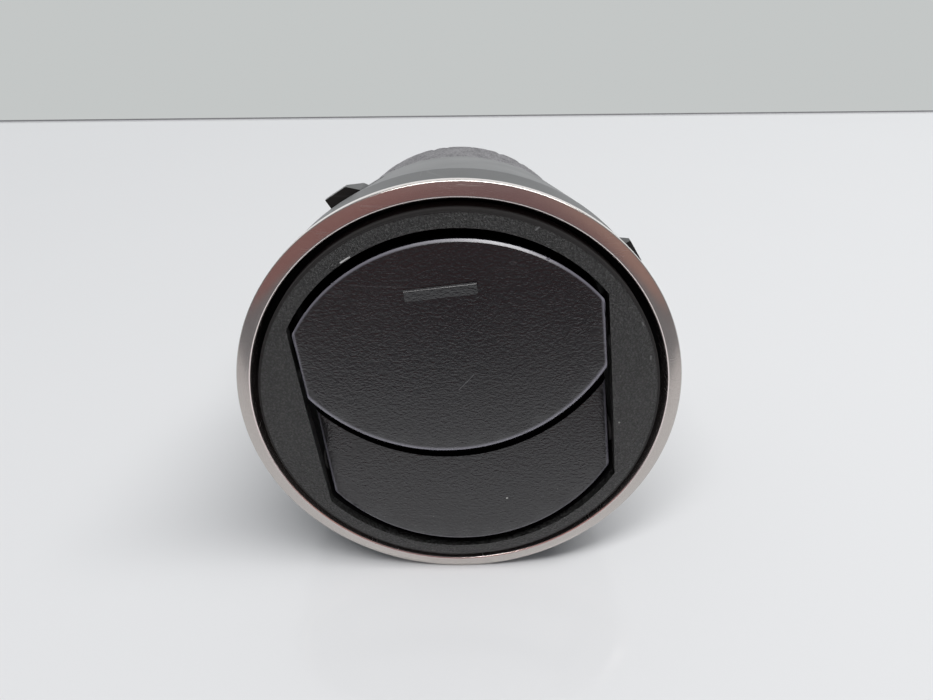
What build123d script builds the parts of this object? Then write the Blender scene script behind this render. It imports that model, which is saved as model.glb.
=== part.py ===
from build123d import *
from math import asin, cos, degrees, radians, sin, sqrt
import os

# A round dashboard air vent. Millimetres. +Y points back into the dashboard, +Z is up, and the face
# looks along -Y. The origin is on the vent's axis, in the plane that seats on the dashboard.
# Depths are measured back from that plane, so what stands in front of it has a negative depth.

# How the vent stands turned, in degrees seen from the front, anticlockwise from +X
ROTOR_TURN = 6.96
LATCH_ANGLE = 32.6
BARB_ANGLE = 0.0

# Bezel ring
RING_R = 46.0            # outer radius
RING_WIDTH = 3.15        # visible band, from the outer edge to the inner lip
RIM_DEPTH = 1.4          # visible depth of the outer rim
LIP_PROUD = 0.92         # how far the inner lip stands in front of the outer edge
BAND_CROWN = 0.14        # bulge of the band between its edges
BAND_EDGE_R = 0.45       # rounding of the band's two edges
SKIRT_WALL = 0.9         # skirt that enters the housing
SKIRT_REACH = 2.4        # how far the skirt reaches behind the seat plane
SKIRT_PLAY = 0.05
BARB_COUNT = 6
BARB_WIDTH = 7.0
BARB_HEIGHT = 0.8
BARB_FRONT = 0.7         # depth of the barb's catching face
BARB_LENGTH = 1.4
BARB_PLAY = 0.2
BARB_SLIT = 0.8          # width of the slits beside each barb

# Housing
FLANGE_INSET = 0.1       # the flange's edge lies this far inside the ring's
FLANGE_THICK = 1.0
SEAT_WIDTH = 1.0         # flange outside the barrel, its back face seats on the dashboard
BARREL_STRAIGHT = 11.6   # depth where the taper starts
BARREL_DROP = 5.1        # how much radius the taper takes off
BARREL_WALL = 2.0
SHOULDER_DEPTH = 46.6
SHOULDER_WALL = 1.8
SHOULDER_CHAMFER = 0.6
SHOULDER_WIDTH = 5.8     # from the barrel's rear edge in to the spigot
SPIGOT_WALL = 1.6
SPIGOT_END = 79.1
SPIGOT_CHAMFER = 0.4

# Foam strip round the spigot
FOAM_THICK = 1.6
FOAM_PLAY = 0.05
FOAM_START_GAP = 1.0     # from the shoulder to the strip
FOAM_SEAM = 0.6          # gap where the strip's ends meet
FOAM_SEAM_ANGLE = 270.0

# Latches, moulded with the housing
LATCH_COUNT = 4
LATCH_EDGE_WIDTH = 5.3   # width of the hook's outer edge
LATCH_SLANT = 2.2        # width and height of the hook's slanted side
LATCH_HEIGHT = 2.1       # hook height above the barrel
LATCH_FRONT = 17.4       # depth of the locking face
LATCH_TIP = 1.6          # flat top before the ramp
LATCH_LENGTH = 10.0      # hook and ramp
LATCH_ROOT = 1.2         # how far the hook's root reaches into the arm
ARM_ROOT = 36.0          # depth where the arm joins the barrel
ARM_MARGIN = 0.8         # arm on each side of the hook
SLOT_WIDTH = 1.2

# Rotor bearing, between the bezel's skirt and the housing's step
THRUST_THICK = 1.2       # flange trapped behind the skirt
THRUST_PLAY = 0.15       # radial
THRUST_STEP = 1.0        # how far the flange stands out from the journal
AXIAL_PLAY = 0.1
JOURNAL_PLAY = 0.08      # radial
JOURNAL_WALL = 1.5
GRIP_START = 5.0         # friction band in the journal's groove
GRIP_WIDTH = 2.0
GRIP_DEPTH = 0.8
GRIP_PLAY = 0.1

# Rotor face
DISC_GAP = 1.65          # between the ring's lip and the disc
DISC_EDGE_R = 0.65
DISC_SKIRT_WALL = 1.4
DISC_SKIRT_END = 1.2
CROWN_R = 400.0          # spherical crown of the face and of both flaps
CROWN_FRONT = 6.3        # how far the crown's centre stands before the seat plane
FACE_WIDTH = 3.4         # disc between its rim and the round ends of the opening
OPENING_FLAT = 6.5       # how far each straight side cuts into the opening's circle
TAB_ANGLE = 25.0         # from the rotor's vertical to each snap tab
TAB_WIDTH = 8.0
TAB_WALL = 1.0
TAB_END = 6.4
TAB_HOOK = 0.9
TAB_HOOK_LENGTH = 1.6
TAB_PLAY = 0.2

# Rotor cage
CAGE_FRONT = 2.5         # how far the cage's front edge stands before the seat plane
CAGE_WALL = 1.6
CAGE_SIDE_WALL = 1.4
CAGE_END = 16.5
SHIELD_THICK = 1.2       # crescents across the cage's rear end, behind the flaps' round ends
SHIELD_WIDTH = 5.5
SHIELD_LOW = 15.0        # the crescents start this far above and below the vent's axis
WEB_THICK = 1.2

# Flaps
FLAP_ARC_EASE = 0.3      # the round ends' radius is this much under the opening's
FLAP_SIDE_GAP = 0.75
FLAP_END_GAP = 2.1
FLAP_THICK = 2.2
FLAP_CORNER_R = 1.8
FLAP_CHAMFER = 0.45
LOWER_TILT = 6.0         # degrees that the lower flap leans back
LOWER_TOP = 8.0          # height of the lower flap's hidden upper edge
PIVOT_HEIGHT = 12.8      # from the vent's axis to either pivot
PIVOT_DEPTH = 1.0
FLAP_SWING = 80.0        # degrees the flaps open
STUB_R = 1.3
STUB_PLAY = 0.05
STUB_OVERRUN = 0.2
EAR_R = 2.9
EAR_THICK = 1.6
EAR_SPREAD = 5.0         # half height of the ear's foot on the flap
SPINE_THICK = 1.8
RIB_THICK = 1.2
RIB_INNER = 8.0          # from the middle to the inner ribs
RIB_OUTER = 9.0          # from the ears to the outer ribs
RIB_SHORT = 5.9          # from the flap's round end to the ribs' thin ends
RIB_RISE = 3.9           # height of ribs and spine behind the flap, less its wall
RIM_WALL = 1.1           # rim behind the flap's round end
RIM_INSET = 0.3
RIM_END = 7.0            # depth of the rim's rear edge
MARK_WIDTH = 13.9        # raised push mark on the upper flap
MARK_HEIGHT = 2.4
MARK_DOWN = 8.6          # from the flap's round end to the mark
MARK_SHIFT = -0.3
MARK_PROUD = 0.5
MARK_SINK = 0.3

# Bushes, cranks and link
BUSH_R = 2.2
BUSH_SEAT_PLAY = 0.03
BUSH_FLANGE_R = 2.9
BUSH_FLANGE = 0.45
CRANK_R = 4.8            # from the pivot to the crank pin
CRANK_PIN_R = 1.2
CRANK_SLOT_PLAY = 0.35
CRANK_EYE_R = 2.1
LINK_SIDE_GAP = 0.3      # from the cage wall to the link
LINK_THICK = 1.2
LINK_EYE_R = 2.2
LINK_WIDTH = 2.8
LINK_PLAY = 0.07
OPEN_PIVOT_PLAY = 0.15
LINK_WEB_GAP = 0.5       # from the link at its deepest to the web
PIN_HEAD_R = 1.6
PIN_HEAD = 0.6
PIN_HEAD_GAP = 0.15
PIN_HEAD_TAPER = 25.0

# Worked out from the sizes above
LIP_R = RING_R - RING_WIDTH
FLANGE_R = RING_R - FLANGE_INSET
BARREL_R = FLANGE_R - SEAT_WIDTH
BARREL_REAR_R = BARREL_R - BARREL_DROP
SPIGOT_R = BARREL_REAR_R - SHOULDER_WIDTH
DISC_R = LIP_R - DISC_GAP
OPENING_R = DISC_R - FACE_WIDTH
OPENING_HALF = OPENING_R - OPENING_FLAT
FLAP_ARC_R = OPENING_R - FLAP_ARC_EASE
FLAP_HALF = OPENING_HALF - FLAP_SIDE_GAP
FLAP_REACH = OPENING_R - FLAP_END_GAP
SKIRT_R = LIP_R + SKIRT_WALL
BORE_R = SKIRT_R + SKIRT_PLAY
THRUST_R = BORE_R - THRUST_PLAY
JOURNAL_R = THRUST_R - THRUST_STEP
JOURNAL_INNER_R = JOURNAL_R - JOURNAL_WALL
BEARING_R = JOURNAL_R + JOURNAL_PLAY
THRUST_FRONT = SKIRT_REACH + AXIAL_PLAY
THRUST_BACK = THRUST_FRONT + THRUST_THICK
BEARING_FRONT = THRUST_BACK + AXIAL_PLAY
WEB_FRONT = PIVOT_DEPTH + CRANK_R + LINK_EYE_R + LINK_WEB_GAP
JOURNAL_END = WEB_FRONT + WEB_THICK
RIM_FRONT = -FLANGE_THICK - RIM_DEPTH
LIP_FRONT = RIM_FRONT - LIP_PROUD
CROWN_CENTRE = CROWN_R - CROWN_FRONT
TAPER = (BARREL_R - BARREL_REAR_R) / (SHOULDER_DEPTH - BARREL_STRAIGHT)
LATCH_BARREL_R = BARREL_R - TAPER * max(LATCH_FRONT - BARREL_STRAIGHT, 0)
FOAM_R = SPIGOT_R + FOAM_PLAY + FOAM_THICK
CAGE_R = OPENING_R + CAGE_WALL
CAGE_HALF = OPENING_HALF + CAGE_SIDE_WALL
LINK_INNER = CAGE_HALF + LINK_SIDE_GAP
LINK_OUTER = LINK_INNER + LINK_THICK
EAR_INNER = FLAP_HALF - EAR_THICK
RIB_PLACES = (RIB_OUTER - EAR_INNER, -RIB_INNER, RIB_INNER, EAR_INNER - RIB_OUTER)
RIB_RUN = FLAP_REACH - RIB_SHORT - PIVOT_HEIGHT
MARK_TOP = FLAP_REACH - MARK_DOWN
MARK_LOW = MARK_TOP - MARK_HEIGHT
BUSH_BORE_R = STUB_R + STUB_PLAY
FLAP_SIDE_HEIGHT = sqrt(FLAP_ARC_R**2 - FLAP_HALF**2) + FLAP_REACH - FLAP_ARC_R
CRANK_BACK = CRANK_R * cos(radians(FLAP_SWING / 2))
CRANK_RISE = CRANK_R * sin(radians(FLAP_SWING / 2))

AXLE = Vector(cos(radians(ROTOR_TURN)), 0, sin(radians(ROTOR_TURN)))
UPWARD = Vector(-sin(radians(ROTOR_TURN)), 0, cos(radians(ROTOR_TURN)))
BACK = Vector(0, 1, 0)


def radial_plane(angle):
    """Plane through the vent's axis: x runs outwards at this angle, y runs back."""
    outwards = Vector(cos(radians(angle)), 0, sin(radians(angle)))
    return Plane(origin=(0, 0, 0), x_dir=outwards, z_dir=outwards.cross(BACK))


def rotor_plane(depth):
    """Plane across the vent's axis, turned with the rotor: x runs along the flap axles, y up."""
    return Plane(origin=(0, depth, 0), x_dir=AXLE, z_dir=(0, -1, 0))


def side_plane(offset):
    """Plane across the flap axles: x runs back, y runs up."""
    return Plane(origin=AXLE * offset, x_dir=BACK, z_dir=AXLE)


def crown_depth(across, height):
    """Depth of the crowned face at a place on it."""
    return CROWN_CENTRE - sqrt(CROWN_R**2 - across**2 - height**2)


def spoke_angles(count, first):
    """Angles of evenly spaced features."""
    return [first + 360 / count * i for i in range(count)]


def turned_sector(points, angle, width, radius, mode=Mode.ADD):
    """Turns a section about the vent's axis over a width measured at a radius."""
    spread = degrees(width / radius)
    with BuildSketch(radial_plane(angle + spread / 2)) as section:
        Polygon(*points, align=None)
    revolve(section.sketch, axis=Axis.Y, revolution_arc=spread, mode=mode)


def opening_outline(radius, half_width):
    """Circle with two flattened sides, the outline of the rotor's air passage."""
    Circle(radius)
    Rectangle(2 * half_width, 3 * radius, mode=Mode.INTERSECT)


def save(part, name):
    """Labels a finished piece and writes its STEP file."""
    part.label = name
    export_step(part, f"parts/{name}.step")
    print(f"{name}: {len(part.solids())} solid, {part.volume:.1f} mm3")


os.makedirs("parts", exist_ok=True)

# Bezel ring: crowned band, rim and skirt in one turned section, with barbs that catch in the housing
with BuildPart() as bezel_ring:
    with BuildSketch(Plane.XY) as ring_section:
        with BuildLine():
            ThreePointArc(
                (RING_R, RIM_FRONT),
                ((RING_R + LIP_R) / 2, (RIM_FRONT + LIP_FRONT) / 2 - BAND_CROWN),
                (LIP_R, LIP_FRONT),
            )
            Polyline(
                (LIP_R, LIP_FRONT),
                (LIP_R, SKIRT_REACH),
                (SKIRT_R, SKIRT_REACH),
                (SKIRT_R, -FLANGE_THICK),
                (RING_R, -FLANGE_THICK),
                (RING_R, RIM_FRONT),
            )
        make_face()
        fillet(ring_section.vertices().sort_by(Axis.Y)[:2], BAND_EDGE_R)
    revolve(axis=Axis.Y)
    for angle in spoke_angles(BARB_COUNT, BARB_ANGLE):
        turned_sector(
            [
                (SKIRT_R - SKIRT_WALL / 2, BARB_FRONT),
                (SKIRT_R + BARB_HEIGHT, BARB_FRONT),
                (SKIRT_R, BARB_FRONT + BARB_LENGTH),
                (SKIRT_R - SKIRT_WALL / 2, BARB_FRONT + BARB_LENGTH),
            ],
            angle,
            BARB_WIDTH,
            SKIRT_R,
        )
        for side in (-1, 1):
            slit_angle = angle + side * degrees((BARB_WIDTH + BARB_SLIT) / 2 / SKIRT_R)
            turned_sector(
                [
                    (LIP_R - SKIRT_WALL, 0),
                    (SKIRT_R + SKIRT_WALL, 0),
                    (SKIRT_R + SKIRT_WALL, SKIRT_REACH + SKIRT_WALL),
                    (LIP_R - SKIRT_WALL, SKIRT_REACH + SKIRT_WALL),
                ],
                slit_angle,
                BARB_SLIT,
                SKIRT_R,
                Mode.SUBTRACT,
            )
save(bezel_ring.part, "bezel_ring")

# One latch hook, made on the +X side: slanted on its clockwise side, with a ramp towards the rear
hook_half = (LATCH_EDGE_WIDTH + LATCH_SLANT) / 2
hook_top = LATCH_BARREL_R + LATCH_HEIGHT
hook_base = LATCH_BARREL_R - LATCH_ROOT
ramp_end = LATCH_FRONT + LATCH_LENGTH
ramp_end_r = LATCH_BARREL_R - TAPER * LATCH_LENGTH - LATCH_ROOT / 2
with BuildPart() as latch_hook:
    with BuildSketch(Plane(origin=(0, LATCH_FRONT, 0), x_dir=(1, 0, 0), z_dir=(0, -1, 0))):
        Polygon(
            (ramp_end_r - LATCH_ROOT, hook_half),
            (hook_top, hook_half),
            (hook_top, hook_half - LATCH_EDGE_WIDTH),
            (hook_top - LATCH_SLANT, -hook_half),
            (ramp_end_r - LATCH_ROOT, -hook_half),
            align=None,
        )
    extrude(amount=-LATCH_LENGTH)
    with BuildSketch(Plane.XY):
        Polygon(
            (hook_base, LATCH_FRONT),
            (hook_top, LATCH_FRONT),
            (hook_top, LATCH_FRONT + LATCH_TIP),
            (ramp_end_r, ramp_end),
            (ramp_end_r - LATCH_ROOT / 2, ramp_end),
            align=None,
        )
    extrude(amount=2 * hook_half, both=True, mode=Mode.INTERSECT)

# Housing: flange, tapered barrel, shoulder and spigot, with four latch arms cut free in the wall
inner_taper_start = BARREL_STRAIGHT + (BARREL_R - BARREL_WALL - BEARING_R) / TAPER
shoulder_inner = SHOULDER_DEPTH - SHOULDER_WALL
arm_half = hook_half + ARM_MARGIN
with BuildPart() as housing:
    with BuildSketch(Plane.XY) as housing_section:
        Polygon(
            (BORE_R, -FLANGE_THICK),
            (FLANGE_R, -FLANGE_THICK),
            (FLANGE_R, 0),
            (BARREL_R, 0),
            (BARREL_R, BARREL_STRAIGHT),
            (BARREL_REAR_R, SHOULDER_DEPTH),
            (SPIGOT_R, SHOULDER_DEPTH),
            (SPIGOT_R, SPIGOT_END),
            (SPIGOT_R - SPIGOT_WALL, SPIGOT_END),
            (SPIGOT_R - SPIGOT_WALL, shoulder_inner),
            (BARREL_REAR_R - BARREL_WALL + TAPER * SHOULDER_WALL, shoulder_inner),
            (BEARING_R, inner_taper_start),
            (BEARING_R, BEARING_FRONT),
            (BORE_R, BEARING_FRONT),
            align=None,
        )
        corners = housing_section.vertices()
        chamfer(corners.sort_by_distance((BARREL_REAR_R, SHOULDER_DEPTH))[0], SHOULDER_CHAMFER)
        chamfer(housing_section.vertices().sort_by(Axis.Y)[-2:], SPIGOT_CHAMFER)
    revolve(axis=Axis.Y)
    for angle in spoke_angles(BARB_COUNT, BARB_ANGLE):
        turned_sector(
            [
                (SKIRT_R - SKIRT_WALL, BARB_FRONT - BARB_PLAY),
                (FLANGE_R, BARB_FRONT - BARB_PLAY),
                (FLANGE_R, BARB_FRONT + BARB_LENGTH + BARB_PLAY),
                (SKIRT_R - SKIRT_WALL, BARB_FRONT + BARB_LENGTH + BARB_PLAY),
            ],
            angle,
            BARB_WIDTH + 2 * BARB_PLAY,
            SKIRT_R,
            Mode.SUBTRACT,
        )
    for angle in spoke_angles(LATCH_COUNT, LATCH_ANGLE):
        outwards = radial_plane(angle).x_dir
        slot_length = ARM_ROOT - LATCH_FRONT
        with BuildSketch(Plane(origin=outwards * SPIGOT_R, x_dir=BACK, z_dir=outwards)):
            with Locations((LATCH_FRONT - SLOT_WIDTH, 0)):
                Rectangle(
                    slot_length + SLOT_WIDTH,
                    2 * (arm_half + SLOT_WIDTH),
                    align=(Align.MIN, Align.CENTER),
                )
            with Locations((LATCH_FRONT, 0)):
                Rectangle(
                    slot_length,
                    2 * arm_half,
                    align=(Align.MIN, Align.CENTER),
                    mode=Mode.SUBTRACT,
                )
        extrude(amount=RING_R - SPIGOT_R, mode=Mode.SUBTRACT)
        add(latch_hook.part.rotate(Axis.Y, -angle))
save(housing.part, "housing")

# Foam strip, wrapped once round the spigot with its ends nearly meeting
with BuildPart() as foam_seal:
    with BuildSketch(Plane.XY):
        Polygon(
            (SPIGOT_R + FOAM_PLAY, SHOULDER_DEPTH + FOAM_START_GAP),
            (FOAM_R, SHOULDER_DEPTH + FOAM_START_GAP),
            (FOAM_R, SPIGOT_END),
            (SPIGOT_R + FOAM_PLAY, SPIGOT_END),
            align=None,
        )
    revolve(axis=Axis.Y)
    turned_sector(
        [
            (SPIGOT_R - FOAM_THICK, SHOULDER_DEPTH),
            (FOAM_R + FOAM_THICK, SHOULDER_DEPTH),
            (FOAM_R + FOAM_THICK, SPIGOT_END + FOAM_THICK),
            (SPIGOT_R - FOAM_THICK, SPIGOT_END + FOAM_THICK),
        ],
        FOAM_SEAM_ANGLE,
        FOAM_SEAM,
        FOAM_R,
        Mode.SUBTRACT,
    )
save(foam_seal.part, "foam_seal")

# Rotor face: crowned disc with a skirt, the opening for the flaps, and four snap tabs behind it
tab_inner = CAGE_R + TAB_PLAY
tab_angles = [90 + ROTOR_TURN + turn + side * TAB_ANGLE for turn in (0, 180) for side in (-1, 1)]
with BuildPart() as rotor_face:
    with BuildSketch(Plane.XY) as face_section:
        with BuildLine():
            CenterArc((0, CROWN_CENTRE), CROWN_R, -90, degrees(asin(DISC_R / CROWN_R)))
            Polyline(
                (DISC_R, crown_depth(DISC_R, 0)),
                (DISC_R, DISC_SKIRT_END),
                (DISC_R - DISC_SKIRT_WALL, DISC_SKIRT_END),
                (DISC_R - DISC_SKIRT_WALL, -CAGE_FRONT),
                (0, -CAGE_FRONT),
                (0, -CROWN_FRONT),
            )
        make_face()
        rim = face_section.vertices().sort_by_distance((DISC_R, crown_depth(DISC_R, 0)))[0]
        fillet(rim, DISC_EDGE_R)
    revolve(axis=Axis.Y)
    with BuildSketch(rotor_plane(0)):
        opening_outline(OPENING_R, OPENING_HALF)
    extrude(amount=2 * CROWN_FRONT, mode=Mode.SUBTRACT)
    for angle in tab_angles:
        turned_sector(
            [
                (tab_inner, -CAGE_FRONT - TAB_WALL / 2),
                (tab_inner + TAB_WALL, -CAGE_FRONT - TAB_WALL / 2),
                (tab_inner + TAB_WALL, TAB_END),
                (tab_inner, TAB_END),
                (tab_inner - TAB_HOOK, TAB_END - TAB_HOOK_LENGTH),
                (tab_inner, TAB_END - TAB_HOOK_LENGTH),
            ],
            angle,
            TAB_WIDTH,
            CAGE_R,
        )
save(rotor_face.part, "rotor_face")

# Rotor cage: flat-sided barrel with light shields, web, journal and thrust flange, bush seats, crank slots
crank_path = CenterArc((0, 0), CRANK_R, -FLAP_SWING / 2, FLAP_SWING)
with BuildPart() as rotor_cage:
    with BuildSketch(rotor_plane(-CAGE_FRONT)):
        opening_outline(CAGE_R, CAGE_HALF)
    extrude(amount=-CAGE_FRONT - CAGE_END)
    with BuildSketch(rotor_plane(WEB_FRONT)):
        Circle(JOURNAL_INNER_R + JOURNAL_WALL / 2)
    extrude(amount=-WEB_THICK)
    with BuildSketch(rotor_plane(-CAGE_FRONT)):
        opening_outline(OPENING_R, OPENING_HALF)
    extrude(amount=-CAGE_FRONT - CAGE_END, mode=Mode.SUBTRACT)
    with BuildSketch(rotor_plane(CAGE_END)):
        opening_outline(CAGE_R, CAGE_HALF)
        Circle(OPENING_R - SHIELD_WIDTH, mode=Mode.SUBTRACT)
        Rectangle(2 * CAGE_R, 2 * SHIELD_LOW, mode=Mode.SUBTRACT)
    extrude(amount=SHIELD_THICK)
    with BuildSketch(Plane.XY):
        Polygon(
            (JOURNAL_INNER_R, THRUST_FRONT),
            (THRUST_R, THRUST_FRONT),
            (THRUST_R, THRUST_BACK),
            (JOURNAL_R, THRUST_BACK),
            (JOURNAL_R, GRIP_START),
            (JOURNAL_R - GRIP_DEPTH, GRIP_START),
            (JOURNAL_R - GRIP_DEPTH, GRIP_START + GRIP_WIDTH),
            (JOURNAL_R, GRIP_START + GRIP_WIDTH),
            (JOURNAL_R, JOURNAL_END),
            (JOURNAL_INNER_R, JOURNAL_END),
            align=None,
        )
    revolve(axis=Axis.Y)
    for side in (-1, 1):
        for height in (-PIVOT_HEIGHT, PIVOT_HEIGHT):
            with BuildSketch(side_plane(side * CAGE_HALF)):
                with Locations((PIVOT_DEPTH, height)):
                    Circle(BUSH_R + BUSH_SEAT_PLAY)
            extrude(amount=CAGE_SIDE_WALL, both=True, mode=Mode.SUBTRACT)
    for height in (-PIVOT_HEIGHT, PIVOT_HEIGHT):
        with BuildSketch(side_plane(CAGE_HALF)):
            with Locations((PIVOT_DEPTH, height)):
                SlotArc(crank_path, 2 * (CRANK_PIN_R + CRANK_SLOT_PLAY))
        extrude(amount=CAGE_SIDE_WALL, both=True, mode=Mode.SUBTRACT)
    for angle in tab_angles:
        turned_sector(
            [
                (OPENING_R - CAGE_WALL, TAB_END - TAB_HOOK_LENGTH - TAB_PLAY),
                (tab_inner, TAB_END - TAB_HOOK_LENGTH - TAB_PLAY),
                (tab_inner, TAB_END + TAB_PLAY),
                (OPENING_R - CAGE_WALL, TAB_END + TAB_PLAY),
            ],
            angle,
            TAB_WIDTH + 2 * TAB_PLAY,
            CAGE_R,
            Mode.SUBTRACT,
        )
save(rotor_cage.part, "rotor_cage")

# Friction band in the journal's groove
with BuildPart() as friction_band:
    with BuildSketch(Plane.XY):
        Polygon(
            (JOURNAL_R - GRIP_DEPTH + GRIP_PLAY, GRIP_START + GRIP_PLAY),
            (JOURNAL_R, GRIP_START + GRIP_PLAY),
            (JOURNAL_R, GRIP_START + GRIP_WIDTH - GRIP_PLAY),
            (JOURNAL_R - GRIP_DEPTH + GRIP_PLAY, GRIP_START + GRIP_WIDTH - GRIP_PLAY),
            align=None,
        )
    revolve(axis=Axis.Y)
save(friction_band.part, "friction_band")


def crowned_plate(centre):
    """Cuts the blank in the current part to a plate between two spheres about a centre."""
    with Locations(centre):
        Sphere(CROWN_R, mode=Mode.INTERSECT)
        Sphere(CROWN_R - FLAP_THICK, mode=Mode.SUBTRACT)


def stiffeners(pivot_height, direction, foot_depth):
    """Spine along the pivots and ribs that thin out towards the flap's round end."""
    for place in RIB_PLACES:
        with BuildSketch(side_plane(place)) as rib:
            Polygon(
                (foot_depth, pivot_height),
                (foot_depth + RIB_RISE, pivot_height),
                (foot_depth + RIB_THICK / 2, pivot_height + direction * RIB_RUN),
                (foot_depth, pivot_height + direction * RIB_RUN),
                align=None,
            )
        extrude(rib.sketch, amount=RIB_THICK / 2, both=True)
    with BuildSketch(rotor_plane(foot_depth + RIB_RISE)) as spine:
        with Locations((0, pivot_height)):
            Rectangle(2 * EAR_INNER, SPINE_THICK)
    extrude(spine.sketch, amount=RIB_RISE)


def end_rim(centre, direction):
    """Rim behind a flap's round end and sides, up to its pivots, that closes the sight line past the flap."""
    with BuildPart() as rim:
        with BuildSketch(rotor_plane(RIM_END)):
            with Locations((0, direction * (FLAP_REACH - FLAP_ARC_R))):
                opening_outline(FLAP_ARC_R - RIM_INSET, FLAP_HALF - RIM_INSET)
            with BuildSketch(mode=Mode.SUBTRACT):
                with Locations((0, direction * (FLAP_REACH - FLAP_ARC_R))):
                    opening_outline(FLAP_ARC_R - RIM_INSET - RIM_WALL, FLAP_HALF - RIM_INSET - RIM_WALL)
            with Locations((0, direction * PIVOT_HEIGHT)):
                Rectangle(
                    2 * FLAP_HALF,
                    FLAP_REACH,
                    align=(Align.CENTER, Align.MIN if direction > 0 else Align.MAX),
                    mode=Mode.INTERSECT,
                )
        extrude(amount=RIM_END + CROWN_FRONT)
        with Locations(centre):
            Sphere(CROWN_R - FLAP_THICK / 2, mode=Mode.INTERSECT)
    return rim.part


def ears_and_pins(pivot_height, foot_depth):
    """Ears with their axle stubs at both sides, and the crank pin on the +X side."""
    crank_place = (PIVOT_DEPTH + CRANK_BACK, pivot_height + CRANK_RISE)
    for side in (-1, 1):
        with BuildSketch(side_plane(side * EAR_INNER)) as ear:
            Polygon(
                (foot_depth, pivot_height - EAR_SPREAD),
                (PIVOT_DEPTH, pivot_height - EAR_R),
                (PIVOT_DEPTH, pivot_height + EAR_R),
                (foot_depth, pivot_height + EAR_SPREAD),
                align=None,
            )
            with Locations((PIVOT_DEPTH, pivot_height)):
                Circle(EAR_R)
            if side > 0:
                with Locations(crank_place):
                    Circle(CRANK_EYE_R)
                with Locations(Location((PIVOT_DEPTH, pivot_height), FLAP_SWING / 2)):
                    Rectangle(CRANK_R, 2 * CRANK_EYE_R, align=(Align.MIN, Align.CENTER))
        extrude(ear.sketch, amount=side * EAR_THICK)
        with BuildSketch(side_plane(side * EAR_INNER)) as stub:
            with Locations((PIVOT_DEPTH, pivot_height)):
                Circle(STUB_R)
        extrude(stub.sketch, amount=side * (CAGE_HALF + STUB_OVERRUN - EAR_INNER))
    with BuildSketch(side_plane(EAR_INNER)) as pin:
        with Locations(crank_place):
            Circle(CRANK_PIN_R)
    extrude(pin.sketch, amount=LINK_OUTER + PIN_HEAD_GAP + PIN_HEAD - EAR_INNER)
    with BuildSketch(side_plane(LINK_OUTER + PIN_HEAD_GAP)) as head:
        with Locations(crank_place):
            Circle(PIN_HEAD_R)
    extrude(head.sketch, amount=PIN_HEAD, taper=PIN_HEAD_TAPER)


# Upper flap: lens-shaped, on the same crown as the face, with the raised push mark
flat_centre = (0, CROWN_CENTRE, 0)
upper_rim = end_rim(flat_centre, 1)
lens_low = 2 * PIVOT_HEIGHT - FLAP_REACH
lens_low_side = 2 * PIVOT_HEIGHT - FLAP_SIDE_HEIGHT
with BuildPart() as upper_flap:
    with BuildSketch(rotor_plane(0)):
        with BuildLine():
            ThreePointArc((-FLAP_HALF, FLAP_SIDE_HEIGHT), (0, FLAP_REACH), (FLAP_HALF, FLAP_SIDE_HEIGHT))
            Line((FLAP_HALF, FLAP_SIDE_HEIGHT), (FLAP_HALF, lens_low_side))
            ThreePointArc((FLAP_HALF, lens_low_side), (0, lens_low), (-FLAP_HALF, lens_low_side))
            Line((-FLAP_HALF, lens_low_side), (-FLAP_HALF, FLAP_SIDE_HEIGHT))
        upper_outline = make_face()
        fillet(upper_outline.vertices(), FLAP_CORNER_R)
    extrude(amount=2 * CROWN_FRONT)
    crowned_plate(flat_centre)
    chamfer(upper_flap.faces().sort_by(Axis.Y)[0].edges(), FLAP_CHAMFER)
    with BuildSketch(side_plane(MARK_SHIFT)):
        Polygon(
            (crown_depth(0, MARK_LOW) + MARK_SINK, MARK_LOW),
            (crown_depth(0, MARK_LOW), MARK_LOW),
            (crown_depth(0, MARK_TOP) - MARK_PROUD, MARK_TOP - MARK_PROUD / 2),
            (crown_depth(0, MARK_TOP) - MARK_PROUD / 2, MARK_TOP),
            (crown_depth(0, MARK_TOP) + MARK_SINK, MARK_TOP),
            align=None,
        )
    extrude(amount=MARK_WIDTH / 2, both=True)
    foot = crown_depth(EAR_INNER, PIVOT_HEIGHT) + FLAP_THICK / 2
    stiffeners(PIVOT_HEIGHT, 1, foot - FLAP_THICK / 4)
    add(upper_rim)
    ears_and_pins(PIVOT_HEIGHT, foot)
save(upper_flap.part, "upper_flap")

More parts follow.
